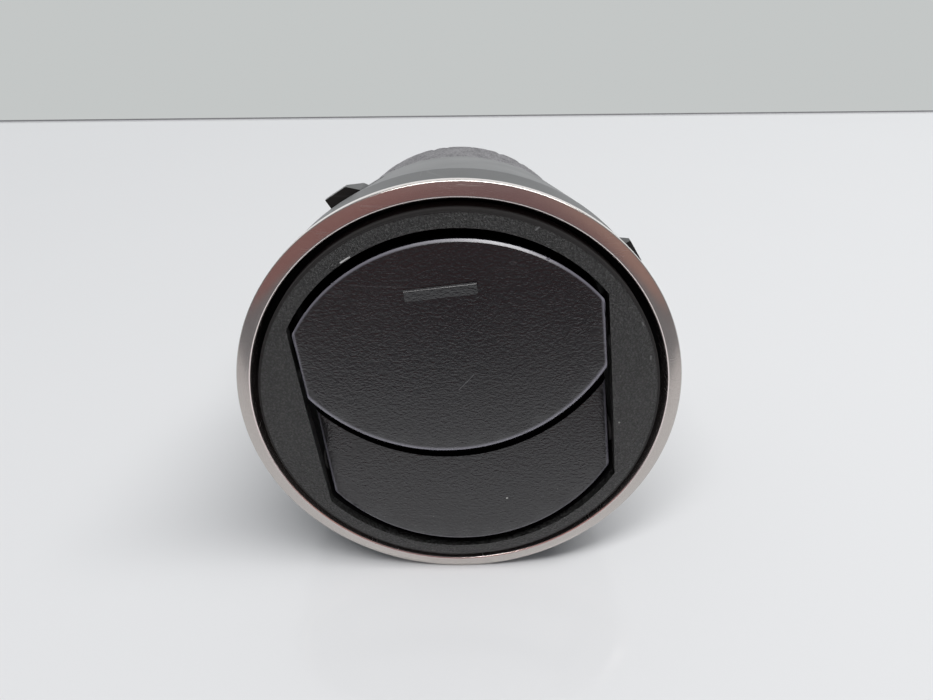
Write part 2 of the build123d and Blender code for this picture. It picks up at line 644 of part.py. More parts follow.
# Lower flap: round end below, straight upper edge hidden behind the upper flap, leaning back
lean_cos = cos(radians(LOWER_TILT))
lean_sin = sin(radians(LOWER_TILT))
end_depth = crown_depth(0, FLAP_REACH)
centre_back = (CROWN_CENTRE - end_depth) * lean_cos + FLAP_REACH * lean_sin
centre_rise = FLAP_REACH * lean_cos - (CROWN_CENTRE - end_depth) * lean_sin
tilted_centre = BACK * (end_depth + centre_back) + UPWARD * (centre_rise - FLAP_REACH)
lower_rim = end_rim(tilted_centre, -1)
with BuildPart() as lower_flap:
    with BuildSketch(rotor_plane(FLAP_HALF)):
        with BuildLine():
            ThreePointArc((-FLAP_HALF, -FLAP_SIDE_HEIGHT), (0, -FLAP_REACH), (FLAP_HALF, -FLAP_SIDE_HEIGHT))
            Polyline(
                (FLAP_HALF, -FLAP_SIDE_HEIGHT),
                (FLAP_HALF, LOWER_TOP),
                (-FLAP_HALF, LOWER_TOP),
                (-FLAP_HALF, -FLAP_SIDE_HEIGHT),
            )
        lower_outline = make_face()
        fillet(lower_outline.vertices(), FLAP_CORNER_R)
    extrude(amount=FLAP_HALF + 2 * CROWN_FRONT)
    crowned_plate(tilted_centre)
    chamfer(lower_flap.faces().sort_by(Axis.Y)[0].edges(), FLAP_CHAMFER)
    lean = (FLAP_REACH - PIVOT_HEIGHT) * lean_sin
    foot = crown_depth(EAR_INNER, PIVOT_HEIGHT) + FLAP_THICK / 2 + lean
    stiffeners(-PIVOT_HEIGHT, -1, foot - FLAP_THICK / 4)
    add(lower_rim)
    ears_and_pins(-PIVOT_HEIGHT, foot)
save(lower_flap.part, "lower_flap")

# Soft friction bushes, one in each bearing seat of the cage, flanged on the flap's side
for row, height in (("upper", PIVOT_HEIGHT), ("lower", -PIVOT_HEIGHT)):
    for hand, side in (("left", -1), ("right", 1)):
        with BuildPart() as bush:
            with BuildSketch(side_plane(side * (OPENING_HALF - BUSH_FLANGE))):
                with Locations((PIVOT_DEPTH, height)):
                    Circle(BUSH_FLANGE_R)
                    Circle(BUSH_BORE_R, mode=Mode.SUBTRACT)
            extrude(amount=side * BUSH_FLANGE)
            with BuildSketch(side_plane(side * OPENING_HALF)):
                with Locations((PIVOT_DEPTH, height)):
                    Circle(BUSH_R)
                    Circle(BUSH_BORE_R, mode=Mode.SUBTRACT)
            extrude(amount=side * CAGE_SIDE_WALL)
        save(bush.part, f"{row}_bush_{hand}")

# Link bar outside the cage wall, joining both crank pins
with BuildPart() as link_bar:
    with BuildSketch(side_plane(LINK_INNER)):
        with Locations((PIVOT_DEPTH + CRANK_BACK, CRANK_RISE)):
            Rectangle(LINK_WIDTH, 2 * PIVOT_HEIGHT)
        with Locations(
            (PIVOT_DEPTH + CRANK_BACK, CRANK_RISE + PIVOT_HEIGHT),
            (PIVOT_DEPTH + CRANK_BACK, CRANK_RISE - PIVOT_HEIGHT),
        ):
            Circle(LINK_EYE_R)
        with Locations((PIVOT_DEPTH + CRANK_BACK, CRANK_RISE + PIVOT_HEIGHT)):
            Circle(CRANK_PIN_R + LINK_PLAY, mode=Mode.SUBTRACT)
        with Locations((PIVOT_DEPTH + CRANK_BACK, CRANK_RISE - PIVOT_HEIGHT)):
            Circle(CRANK_PIN_R + OPEN_PIVOT_PLAY, mode=Mode.SUBTRACT)
    extrude(amount=LINK_THICK)
save(link_bar.part, "link_bar")
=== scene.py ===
import logging
import math
from dataclasses import dataclass, field, fields, replace
from enum import Enum

import bmesh
import bpy
from mathutils import Matrix, Vector


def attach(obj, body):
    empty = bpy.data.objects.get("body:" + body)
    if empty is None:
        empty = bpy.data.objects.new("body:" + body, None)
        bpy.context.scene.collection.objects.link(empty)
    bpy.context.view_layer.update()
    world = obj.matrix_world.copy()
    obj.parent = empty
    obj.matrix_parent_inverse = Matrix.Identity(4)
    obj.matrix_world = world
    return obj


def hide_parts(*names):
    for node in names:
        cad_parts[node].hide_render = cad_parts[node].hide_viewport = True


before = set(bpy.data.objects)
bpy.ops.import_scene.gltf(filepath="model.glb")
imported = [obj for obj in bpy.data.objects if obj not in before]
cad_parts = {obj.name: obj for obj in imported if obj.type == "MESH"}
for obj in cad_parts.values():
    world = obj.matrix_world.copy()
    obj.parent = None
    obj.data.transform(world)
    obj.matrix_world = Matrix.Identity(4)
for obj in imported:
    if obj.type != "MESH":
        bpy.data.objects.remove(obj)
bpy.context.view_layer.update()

# A round dashboard air vent, lying on a pale glossy table. Metres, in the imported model's own frame:
# +Y points back along the vent's axis, +Z is up, and the face looks along -Y.

log = logging.getLogger("vent")

MM = 0.001
ROTOR_TURN = math.radians(6.96)
FLAP_ARC = 37.5 * MM
FLAP_HALF_WIDTH = 30.55 * MM
UPPER_FLAP_ARC_CENTRE = 27.4 * MM
OFF_AXIS = (1.0, 0.0, 1.0)
WIRE_TYPES = {float: "NodeSocketFloat", int: "NodeSocketInt"}

Colour = tuple[float, float, float]
Piece = bpy.types.Object
Material = bpy.types.Material
Socket = bpy.types.NodeSocket

BLACK: Colour = (0.0, 0.0, 0.0)
SCRATCH_COLOUR: Colour = (0.16, 0.16, 0.165)
DUST_COLOUR: Colour = (0.55, 0.54, 0.5)


def rgba(colour: Colour) -> tuple[float, float, float, float]:
    """Adds the alpha that a colour socket wants."""
    return (*colour, 1.0)


def placed(name: str, data: bpy.types.ID) -> Piece:
    """Makes an object of some data and puts it in the scene."""
    piece = bpy.data.objects.new(name, data)
    bpy.context.scene.collection.objects.link(piece)
    return piece


def settle(piece: Piece, modifier: bpy.types.Modifier) -> None:
    """Makes a modifier's result the piece's own mesh and removes the modifier."""
    graph = bpy.context.evaluated_depsgraph_get()
    mesh = bpy.data.meshes.new_from_object(piece.evaluated_get(graph), depsgraph=graph)
    mesh.name = piece.name
    piece.modifiers.remove(modifier)
    piece.data = mesh


class Nodes:
    """Adds and links the nodes of one tree."""

    def __init__(self, tree: bpy.types.NodeTree) -> None:
        """Starts on a tree.

        Args:
            tree: the tree that the nodes go into.
        """
        self.tree = tree

    def add(self, kind: str, settings: dict | None = None, **inputs: object) -> bpy.types.Node:
        """Adds a node.

        Args:
            kind: the node's type name.
            settings: attributes of the node itself.
            inputs: socket names, with spaces as underscores, to a value or an output socket.

        Returns:
            The new node.
        """
        node = self.tree.nodes.new(kind)
        for name, value in (settings or {}).items():
            setattr(node, name, value)
        for name, value in inputs.items():
            self.feed(node.inputs[name.replace("_", " ")], value)
        return node

    def feed(self, socket: Socket, value: object) -> None:
        """Links an output to a socket, or sets the socket's own value."""
        if isinstance(value, Socket):
            self.tree.links.new(value, socket)
        else:
            socket.default_value = value

    def math(self, operation: str, first: object, second: object = 0.0) -> Socket:
        """Adds a Math node and returns its result."""
        node = self.add("ShaderNodeMath", {"operation": operation})
        self.feed(node.inputs[0], first)
        self.feed(node.inputs[1], second)
        return node.outputs[0]

    def plus(self, first: object, second: object) -> Socket:
        """Adds two numbers."""
        return self.math("ADD", first, second)

    def minus(self, first: object, second: object) -> Socket:
        """Takes the second number from the first."""
        return self.math("SUBTRACT", first, second)

    def times(self, first: object, second: object) -> Socket:
        """Multiplies two numbers."""
        return self.math("MULTIPLY", first, second)

    def over(self, first: object, second: object) -> Socket:
        """Divides the first number by the second."""
        return self.math("DIVIDE", first, second)

    def vector(self, operation: str, first: object, second: object = None) -> Socket:
        """Adds a Vector Math node and returns its vector, or its number where it gives one."""
        node = self.add("ShaderNodeVectorMath", {"operation": operation})
        self.feed(node.inputs[0], first)
        if second is not None:
            self.feed(node.inputs[1], second)
        return node.outputs[1 if operation in ("DOT_PRODUCT", "LENGTH") else 0]

    def scaled(self, vector: Socket, factor: Socket) -> Socket:
        """Multiplies a vector by a number."""
        node = self.add("ShaderNodeVectorMath", {"operation": "SCALE"}, Scale=factor)
        self.feed(node.inputs[0], vector)
        return node.outputs[0]

    def off_axis(self, place: Socket) -> Socket:
        """Gives a place's distance from the vent's axis."""
        return self.vector("LENGTH", self.vector("MULTIPLY", place, OFF_AXIS))

    def point(self, x: object, y: object, z: object = 0.0) -> Socket:
        """Joins three numbers to a vector."""
        return self.add("ShaderNodeCombineXYZ", X=x, Y=y, Z=z).outputs[0]

    def parts(self, vector: Socket) -> tuple[Socket, ...]:
        """Splits a vector to its three numbers."""
        return tuple(self.add("ShaderNodeSeparateXYZ", Vector=vector).outputs)

    def remap(self, value: Socket, low: float, high: float) -> Socket:
        """Maps low to 0 and high to 1, smoothly and clamped."""
        kind = {"interpolation_type": "SMOOTHSTEP"}
        node = self.add("ShaderNodeMapRange", kind, Value=value, From_Min=low, From_Max=high)
        return node.outputs["Result"]

    def blend(self, amount: object, first: object, second: object) -> Socket:
        """Mixes two colours by an amount and returns the colour."""
        node = self.add("ShaderNodeMix", {"data_type": "RGBA"})
        for place, value in ((0, amount), (6, first), (7, second)):
            self.feed(node.inputs[place], value)
        return node.outputs[2]

    def noise(self, place: Socket, scale: object, detail: float, **inputs: object) -> Socket:
        """Adds a Noise texture and returns its value."""
        kind = "ShaderNodeTexNoise"
        node = self.add(kind, Vector=place, Scale=scale, Detail=detail, **inputs)
        return node.outputs["Fac"]

    def cells(self, place: Socket, scale: object) -> bpy.types.Node:
        """Adds a Voronoi texture."""
        kind = "ShaderNodeTexVoronoi"
        return self.add(kind, {"feature": "F1"}, Vector=place, Scale=scale)


class Group(Nodes):
    """A node group under construction, with its input and output nodes."""

    def __init__(
        self,
        name: str,
        inputs: dict[str, tuple[str, object]],
        outputs: dict[str, str],
        tree_type: str = "ShaderNodeTree",
    ) -> None:
        """Makes the group.

        Args:
            name: the group's name.
            inputs: socket names to their type and default value.
            outputs: socket names to their type.
            tree_type: what the group is for.
        """
        super().__init__(bpy.data.node_groups.new(name, tree_type))
        self.keys: dict[str, str] = {}
        sockets = self.tree.interface
        for key, (kind, value) in inputs.items():
            socket = sockets.new_socket(name=key, in_out="INPUT", socket_type=kind)
            if value is not None:
                socket.default_value = value
            self.keys[key] = socket.identifier
        for key, kind in outputs.items():
            sockets.new_socket(name=key, in_out="OUTPUT", socket_type=kind)
        self.source = self.tree.nodes.new("NodeGroupInput")
        self.result = self.tree.nodes.new("NodeGroupOutput")

    def given(self, name: str) -> Socket:
        """The output that carries a named input."""
        return self.source.outputs[name]

    def all_given(self, *names: str) -> tuple[Socket, ...]:
        """The outputs that carry several named inputs."""
        return tuple(self.given(name) for name in names)

    def give(self, **outputs: Socket) -> bpy.types.NodeTree:
        """Feeds the group's outputs and returns its tree."""
        for name, value in outputs.items():
            self.feed(self.result.inputs[name], value)
        return self.tree


class Effect(Enum):
    """Shader node groups that more than one finish uses."""

    LEATHER_GRAIN = "leather grain"
    SPARK_GRAIN = "spark grain"
    HANDLING = "handling marks"
    STROKE = "single stroke"
    # Mask for the painted highlights along rounded edges.
    EDGE_HIGHLIGHT = "edge line"


def grain_group(kind: Effect) -> tuple[Group, Socket, Socket]:
    """Makes an empty group for a grain.

    Args:
        kind: the effect that the group is for.

    Returns:
        The group, the place that it shades and how many cells there are in a metre.
    """
    n = Group(
        kind.value,
        {"Place": ("NodeSocketVector", None), "Cell": ("NodeSocketFloat", 0.5 * MM)},
        {"Height": "NodeSocketFloat", "Tone": "NodeSocketFloat"},
    )
    return n, n.given("Place"), n.over(1.0, n.given("Cell"))


def leather_grain() -> bpy.types.NodeTree:
    """Soft pebbled grain, wider than it is tall, as moulded on the flaps."""
    stretch, warp_reach = (0.62, 1.0, 1.0), (1.1 * MM, 1.1 * MM, 1.1 * MM)
    warp_scale, fine_scale = 0.55, 1.9
    pebble_top, pebble_share, fine_share = 0.8, 0.65, 0.5
    dark_below, light_above = 0.45, 0.9
    n, place, per_metre = grain_group(Effect.LEATHER_GRAIN)
    flat = n.vector("MULTIPLY", place, stretch)
    warp = n.add("ShaderNodeTexNoise", Vector=flat, Detail=1.0)
    n.feed(warp.inputs["Scale"], n.times(per_metre, warp_scale))
    bend = n.add("ShaderNodeVectorMath", {"operation": "MULTIPLY_ADD"})
    for socket, value in zip(bend.inputs, (warp.outputs["Color"], warp_reach, flat)):
        n.feed(socket, value)
    smooth = {"feature": "SMOOTH_F1"}
    cells = n.add("ShaderNodeTexVoronoi", smooth, Vector=bend.outputs[0], Smoothness=0.6)
    n.feed(cells.inputs["Scale"], per_metre)
    fine = n.noise(flat, n.times(per_metre, fine_scale), 3.0, Roughness=0.6)
    pebbles = n.minus(pebble_top, cells.outputs["Distance"])
    height = n.plus(n.times(pebbles, pebble_share), n.times(fine, fine_share))
    return n.give(Height=height, Tone=n.remap(height, dark_below, light_above))


def spark_grain() -> bpy.types.NodeTree:
    """Fine eroded grain with small bright points, as moulded on the face."""
    pit_scale, pit_share = 0.9, -0.35
    dark_below, light_above = 0.2, 0.62
    n, place, per_metre = grain_group(Effect.SPARK_GRAIN)
    coarse = n.noise(place, per_metre, 4.0, Roughness=0.7)
    pits = n.cells(place, n.times(per_metre, pit_scale)).outputs["Distance"]
    height = n.plus(coarse, n.times(pits, pit_share))
    return n.give(Height=height, Tone=n.remap(height, dark_below, light_above))


def handling_marks() -> bpy.types.NodeTree:
    """Sparse fine scratches, soft wiped patches and specks of dust."""
    n = Group(
        Effect.HANDLING.value,
        {"Place": ("NodeSocketVector", None)},
        {"Scratch": "NodeSocketFloat", "Wiped": "NodeSocketFloat", "Dust": "NodeSocketFloat"},
    )
    place = n.given("Place")
    scratch_scale = (1 / (60 * MM), 1 / (60 * MM), 1 / (1.2 * MM))
    scratch_width, scratched = 0.006, (0.62, 0.72)
    wiped_size, wiped_range = 17 * MM, (0.35, 0.7)
    dust_spacing, dusty_above, dust_edge = 5.5 * MM, 0.86, (0.03, 0.018)
    strokes = []
    for turn, spacing in ((0.5, 9.0 * MM), (2.2, 13.0 * MM)):
        mapping = n.add("ShaderNodeMapping", Vector=place)
        mapping.inputs["Rotation"].default_value = (0.0, turn, 0.0)
        mapping.inputs["Scale"].default_value = scratch_scale
        lines = n.minus(n.noise(mapping.outputs[0], 1.0, 1.0), 0.5)
        gate = n.remap(n.noise(place, 1 / spacing, 0.0), *scratched)
        strokes.append(n.times(n.remap(n.math("ABSOLUTE", lines), scratch_width, 0.0), gate))
    wiped = n.remap(n.noise(place, 1 / wiped_size, 2.0), *wiped_range)
    specks = n.cells(place, 1 / dust_spacing)
    chance = n.add("ShaderNodeSeparateColor", Color=specks.outputs["Color"]).outputs[0]
    rare = n.math("GREATER_THAN", chance, dusty_above)
    dust = n.times(rare, n.remap(specks.outputs["Distance"], *dust_edge))
    return n.give(Scratch=n.math("MAXIMUM", *strokes), Wiped=wiped, Dust=dust)


def single_stroke() -> bpy.types.NodeTree:
    """Soft-edged stroke between two places, seen along the vent's axis. A short one is a speck."""
    n = Group(
        Effect.STROKE.value,
        {
            "Place": ("NodeSocketVector", None),
            "Start": ("NodeSocketVector", None),
            "End": ("NodeSocketVector", None),
            "Width": ("NodeSocketFloat", 0.2 * MM),
        },
        {"Mask": "NodeSocketFloat"},
    )
    clear_beyond, full_within = 0.6, 0.35
    start = n.given("Start")
    across = n.vector("MULTIPLY", n.given("Place"), OFF_AXIS)
    run = n.vector("SUBTRACT", n.given("End"), start)
    reach = n.vector("SUBTRACT", across, start)
    share = n.over(n.vector("DOT_PRODUCT", reach, run), n.vector("DOT_PRODUCT", run, run))
    clamped = n.math("MINIMUM", n.math("MAXIMUM", share, 0.0), 1.0)
    away = n.vector("LENGTH", n.vector("SUBTRACT", reach, n.scaled(run, clamped)))
    return n.give(Mask=n.remap(n.over(away, n.given("Width")), clear_beyond, full_within))


def edge_highlight() -> bpy.types.NodeTree:
    """Mask of a painted highlight: a soft line just inside a circle, seen along the vent's axis."""
    n = Group(
        Effect.EDGE_HIGHLIGHT.value,
        {
            "Place": ("NodeSocketVector", None),
            "Centre": ("NodeSocketVector", None),
            "Radius": ("NodeSocketFloat", FLAP_ARC),
            "Width": ("NodeSocketFloat", 0.5 * MM),
        },
        {"Mask": "NodeSocketFloat"},
    )
    clear_beyond, full_within = 1.3, 0.3
    reach = n.vector("SUBTRACT", n.given("Place"), n.given("Centre"))
    inside = n.minus(n.given("Radius"), n.off_axis(reach))
    return n.give(Mask=n.remap(n.over(inside, n.given("Width")), clear_beyond, full_within))


EFFECT_BUILDERS = {
    Effect.LEATHER_GRAIN: leather_grain,
    Effect.SPARK_GRAIN: spark_grain,
    Effect.HANDLING: handling_marks,
    Effect.STROKE: single_stroke,
    Effect.EDGE_HIGHLIGHT: edge_highlight,
}


class Surface:
    """One material under construction, with its Principled shader and object coordinates."""

    def __init__(self, name: str) -> None:
        """Makes the material.

        Args:
            name: the material's name.
        """
        self.material = bpy.data.materials.new(name)
        self.material.use_nodes = True
        tree = self.material.node_tree
        tree.nodes.clear()
        self.nodes = Nodes(tree)
        output = tree.nodes.new("ShaderNodeOutputMaterial")
        self.shader = tree.nodes.new("ShaderNodeBsdfPrincipled")
        tree.links.new(self.shader.outputs[0], output.inputs["Surface"])
        self.coordinates = tree.nodes.new("ShaderNodeTexCoord")
        self.place = self.coordinates.outputs["Object"]

    def backwards(self) -> Socket:
        """Gives how far the surface's own normal points back along the vent's axis."""
        return self.nodes.parts(self.coordinates.outputs["Normal"])[1]

    def effect(self, kind: Effect, **inputs: object) -> bpy.types.Node:
        """Places a shared effect, built the first time that a finish asks for it."""
        group = bpy.data.node_groups.get(kind.value) or EFFECT_BUILDERS[kind]()
        return self.nodes.add("ShaderNodeGroup", {"node_tree": group}, Place=self.place, **inputs)

    def set(self, **inputs: object) -> None:
        """Sets or links the shader's sockets."""
        for name, value in inputs.items():
            self.nodes.feed(self.shader.inputs[name.replace("_", " ")], value)

    def bump(self, height: Socket, depth: float, **inputs: Socket) -> Socket:
        """Turns a height, in units of depth, to a normal."""
        inputs |= {"Height": height, "Distance": depth, "Strength": 1.0}
        return self.nodes.add("ShaderNodeBump", **inputs).outputs[0]


class Recipe(Group):
    """A Geometry Nodes tree under construction, with named inputs for its sizes."""

    def __init__(self, name: str, inputs: dict[str, tuple[str, object]]) -> None:
        """Makes the tree.

        Args:
            name: the tree's name.
            inputs: socket names to their type and default value.
        """
        shape = "NodeSocketGeometry"
        all_inputs = {"Start": (shape, None)} | inputs
        super().__init__(name, all_inputs, {"Mesh": shape}, "GeometryNodeTree")

    def position(self) -> Socket:
        """Each point's position."""
        return self.add("GeometryNodeInputPosition").outputs[0]

    def choose(self, kind: str, items: list[object]) -> Socket:
        """Picks a value for each point by its index."""
        node = self.add("GeometryNodeIndexSwitch", {"data_type": kind})
        while len(node.index_switch_items) < len(items):
            node.index_switch_items.new()
        self.feed(node.inputs[0], self.add("GeometryNodeInputIndex").outputs[0])
        for place, item in enumerate(items):
            self.feed(node.inputs[place + 1], item)
        return node.outputs[0]

    def turned(self, section: Socket, segments: object) -> Socket:
        """Turns a closed section, drawn as radius and depth, once about the vent's axis.

        Args:
            section: the closed curve, whose x is the radius and y the depth.
            segments: how many steps the turn has.

        Returns:
            The closed mesh.
        """
        as_points = {"mode": "EVALUATED"}
        dots = self.add("GeometryNodeCurveToPoints", as_points, Curve=section).outputs[0]
        cloud = {"component": "POINTCLOUD"}
        count = self.add("GeometryNodeAttributeDomainSize", cloud, Geometry=dots)
        rows = count.outputs["Point Count"]
        grid = self.add("GeometryNodeMeshGrid", Size_X=1.0, Size_Y=1.0)
        self.feed(grid.inputs["Vertices X"], self.plus(segments, 1.0))
        self.feed(grid.inputs["Vertices Y"], self.plus(rows, 1.0))
        across, along, _ = self.parts(self.position())
        angle = self.times(self.plus(across, 0.5), math.tau)
        row = self.math("ROUND", self.times(self.plus(along, 0.5), rows))
        pick = self.add("GeometryNodeSampleIndex", {"data_type": "FLOAT_VECTOR", "domain": "POINT"})
        self.feed(pick.inputs["Geometry"], dots)
        self.feed(pick.inputs["Value"], self.position())
        self.feed(pick.inputs["Index"], self.math("MODULO", row, rows))
        radius, depth, _ = self.parts(pick.outputs[0])
        x = self.times(radius, self.math("COSINE", angle))
        z = self.times(radius, self.math("SINE", angle))
        bent = self.add("GeometryNodeSetPosition", Geometry=grid.outputs["Mesh"])
        self.feed(bent.inputs["Position"], self.point(x, depth, z))
        kind, reach = "GeometryNodeMergeByDistance", 0.001 * MM
        return self.add(kind, Geometry=bent.outputs[0], Distance=reach).outputs[0]

    def finish(self, shape: Socket, sharp_from: float) -> None:
        """Ends the tree: real geometry, smooth but for its sharp edges, with the finish set."""
        real = self.add("GeometryNodeRealizeInstances", Geometry=shape).outputs[0]
        bent = self.add("GeometryNodeInputMeshEdgeAngle").outputs["Unsigned Angle"]
        sharp = self.add("FunctionNodeCompare", A=bent, B=sharp_from).outputs[0]
        shading = "GeometryNodeSetShadeSmooth"
        smooth = self.add(shading, {"domain": "FACE"}, Geometry=real).outputs[0]
        creased = self.add(shading, {"domain": "EDGE"}, Geometry=smooth)
        self.feed(creased.inputs["Selection"], sharp)
        creased.inputs["Shade Smooth"].default_value = False
        dressed = self.add("GeometryNodeSetMaterial", Geometry=creased.outputs[0])
        self.feed(dressed.inputs["Material"], self.given("Finish"))
        self.give(Mesh=dressed.outputs[0])

    def grow(
        self, name: str, values: dict[str, object], start: bpy.types.Mesh | None = None
    ) -> Piece:
        """Runs the tree and keeps its result.

        Args:
            name: the new piece's name.
            values: the inputs by name.
            start: the mesh that the tree works on, where it works on one.

        Returns:
            A plain mesh object, with no modifier left.
        """
        piece = placed(name, start or bpy.data.meshes.new(name + "_seed"))
        modifier = piece.modifiers.new("recipe", "NODES")
        modifier.node_group = self.tree
        for key, value in values.items():
            modifier[self.keys[key]] = value
        settle(piece, modifier)
        return piece


class Grown:
    """A piece whose number fields are the inputs of its Geometry Nodes tree."""

    def sizes(self) -> dict[str, float]:
        """Gives each number field by its input's name."""
        values = {f.name.replace("_", " ").title(): getattr(self, f.name) for f in fields(self)}
        return {name: value for name, value in values.items() if type(value) in WIRE_TYPES}

    def recipe(self, name: str, *finishes: str) -> Recipe:
        """Starts the tree.

        Args:
            name: the tree's name.
            finishes: the names of its material inputs.

        Returns:
            The tree, with an input for each size and each finish.
        """
        inputs = {key: (WIRE_TYPES[type(value)], value) for key, value in self.sizes().items()}
        return Recipe(name, inputs | {key: ("NodeSocketMaterial", None) for key in finishes})


@dataclass(frozen=True)
class Stroke:
    """One mark between two places on the face, in millimetres."""

    start: tuple[float, float]
    end: tuple[float, float]
    width: float
    colour: Colour
    strength: float


@dataclass(frozen=True)
class EdgeHighlight:
    """Painted highlight along a rounded edge: a light line in the colour, part of a circle round a
    centre.
    """

    across: float
    height: float
    radius: float
    width: float
    strength: float

    def centre(self) -> tuple[float, float, float]:
        """Gives the circle's centre in the vent's frame."""
        sine, cosine = math.sin(ROTOR_TURN), math.cos(ROTOR_TURN)
        x = self.across * cosine - self.height * sine
        return (x, 0.0, self.across * sine + self.height * cosine)


# The painted highlight along a straight side is drawn as part of a circle with a radius of about a
# metre.
FLAP_SIDE_HIGHLIGHTS = tuple(
    EdgeHighlight(across, 0.0, 1.0 + FLAP_HALF_WIDTH, 0.6 * MM, 0.55) for across in (-1.0, 1.0)
)


@dataclass(frozen=True)
class GrainedPlastic:
    """Dark moulded plastic with a grain, single marks, faint scratches, wiped patches and dust, with
    painted highlights along its rounded edges and, where given, painted shade on its outer rim.
    """

    name: str
    grain: Effect
    cell: float
    depth: float
    dark: Colour
    light: Colour
    roughness: float
    dust: float = 0.25
    scratches: float = 0.25
    wiped: float = 0.06
    shine: float = 0.75
    strokes: tuple[Stroke, ...] = ()
    roll_off: tuple[float, float, float] | None = None
    grain_facing: tuple[float, float] = (0.85, 0.97)
    # The edge entries and their colour paint highlights: light lines in the colour along rounded
    # edges that face forward.
    edges: tuple[EdgeHighlight, ...] = ()
    highlight_colour: Colour = (0.36, 0.35, 0.41)
    edge_lean: float = -0.75
    edge_facing: tuple[float, float] = (0.2, 0.5)
    # Painted shade: beyond these radii the colour turns near-black and the surface rough, so the
    # outer rim shows no highlight.
    rim: tuple[float, float] | None = None
    rim_shade_colour: Colour = (0.003, 0.003, 0.003)

    def relief(self, s: Surface, grain: Socket) -> None:
        """Feeds the grain, and the face's rolled-off border where it has one, to the normal.

        The grain fades out on the rounded edges, which face away from the front.
        """
        n = s.nodes
        facing = n.remap(n.math("ABSOLUTE", s.backwards()), *self.grain_facing)
        under = {}
        if self.roll_off:
            inside, outside, drop = self.roll_off
            under["Normal"] = s.bump(n.remap(n.off_axis(s.place), outside, inside), drop)
        s.set(Normal=s.bump(n.times(grain, facing), self.depth, **under))

    def marked(self, s: Surface, tone: Socket) -> Socket:
        """Lays the painted edge highlights, then the single marks, over a colour and returns the
        colour.
        """
        n = s.nodes
        facing = n.remap(n.times(s.backwards(), self.edge_lean), *self.edge_facing)
        for edge in self.edges:
            place = {"Centre": edge.centre(), "Radius": edge.radius, "Width": edge.width}
            line = n.times(s.effect(Effect.EDGE_HIGHLIGHT, **place).outputs["Mask"], edge.strength)
            # Painted highlight: the colour turns lighter along each edge, most where the rounded edge
            # faces forward.
            tone = n.blend(n.times(line, facing), tone, rgba(self.highlight_colour))
        for stroke in self.strokes:
            start, end = ((x * MM, 0.0, z * MM) for x, z in (stroke.start, stroke.end))
            mark = s.effect(Effect.STROKE, Width=stroke.width * MM, Start=start, End=end)
            amount = n.times(mark.outputs["Mask"], stroke.strength)
            tone = n.blend(amount, tone, rgba(stroke.colour))
        return tone

    def build(self) -> Material:
        """Builds the material."""
        s = Surface(self.name)
        n = s.nodes
        grain = s.effect(self.grain, Cell=self.cell)
        marks = s.effect(Effect.HANDLING)
        tone = n.blend(grain.outputs["Tone"], rgba(self.dark), rgba(self.light))
        scratched = n.times(marks.outputs["Scratch"], self.scratches)
        tone = n.blend(scratched, tone, rgba(SCRATCH_COLOUR))
        tone = n.blend(n.times(marks.outputs["Dust"], self.dust), tone, rgba(DUST_COLOUR))
        tone = self.marked(s, tone)
        rough = n.plus(n.times(marks.outputs["Wiped"], self.wiped), self.roughness)
        # Painted shade on the outer rim.
        if self.rim:
            rim_shade = n.remap(n.off_axis(s.place), *self.rim)
            tone = n.blend(rim_shade, tone, rgba(self.rim_shade_colour))
            rough = n.plus(rough, n.times(rim_shade, 1.0 - self.roughness))
        s.set(Base_Color=tone, Specular_IOR_Level=self.shine, Roughness=rough)
        self.relief(s, grain.outputs["Height"])
        return s.material


@dataclass(frozen=True)
class SatinPaint:
    """Silver satin paint on the trim ring, with a fine flake, faint wear and a painted highlight
    along the inner lip.
    """

    name: str = "satin silver paint"
    colour: Colour = (0.6, 0.56, 0.53)
    # The lip colour and range paint a highlight: the band turns near-white over its last half
    # millimetre at the inner lip.
    lip_highlight_colour: Colour = (1.0, 0.9, 0.87)
    lip: tuple[float, float] = (43.35 * MM, 43.1 * MM)
    metallic: float = 0.92
    roughness: float = 0.19
    flake_size: float = 0.12 * MM
    flake_dark: float = 0.86
    uneven_size: float = 3 * MM
    uneven_roughness: float = 0.06
    uneven_depth: float = 0.006 * MM
    scratch_roughness: float = 0.12

    def build(self) -> Material:
        """Builds the material."""
        s = Surface(self.name)
        n = s.nodes
        flake = n.cells(s.place, 1 / self.flake_size).outputs["Color"]
        shade = n.add("ShaderNodeSeparateColor", Color=flake).outputs[0]
        marks = s.effect(Effect.HANDLING)
        dark = tuple(c * self.flake_dark for c in self.colour)
        paint = n.blend(shade, rgba(dark), rgba(self.colour))
        # Painted highlight along the inner lip.
        lip = n.remap(n.off_axis(s.place), *self.lip)
        s.set(Base_Color=n.blend(lip, paint, rgba(self.lip_highlight_colour)), Metallic=self.metallic)
        uneven = n.noise(s.place, 1 / self.uneven_size, 3.0)
        rough = n.plus(n.times(uneven, self.uneven_roughness), self.roughness)
        worn = n.times(marks.outputs["Scratch"], self.scratch_roughness)
        s.set(Roughness=n.plus(rough, worn), Normal=s.bump(uneven, self.uneven_depth))
        return s.material


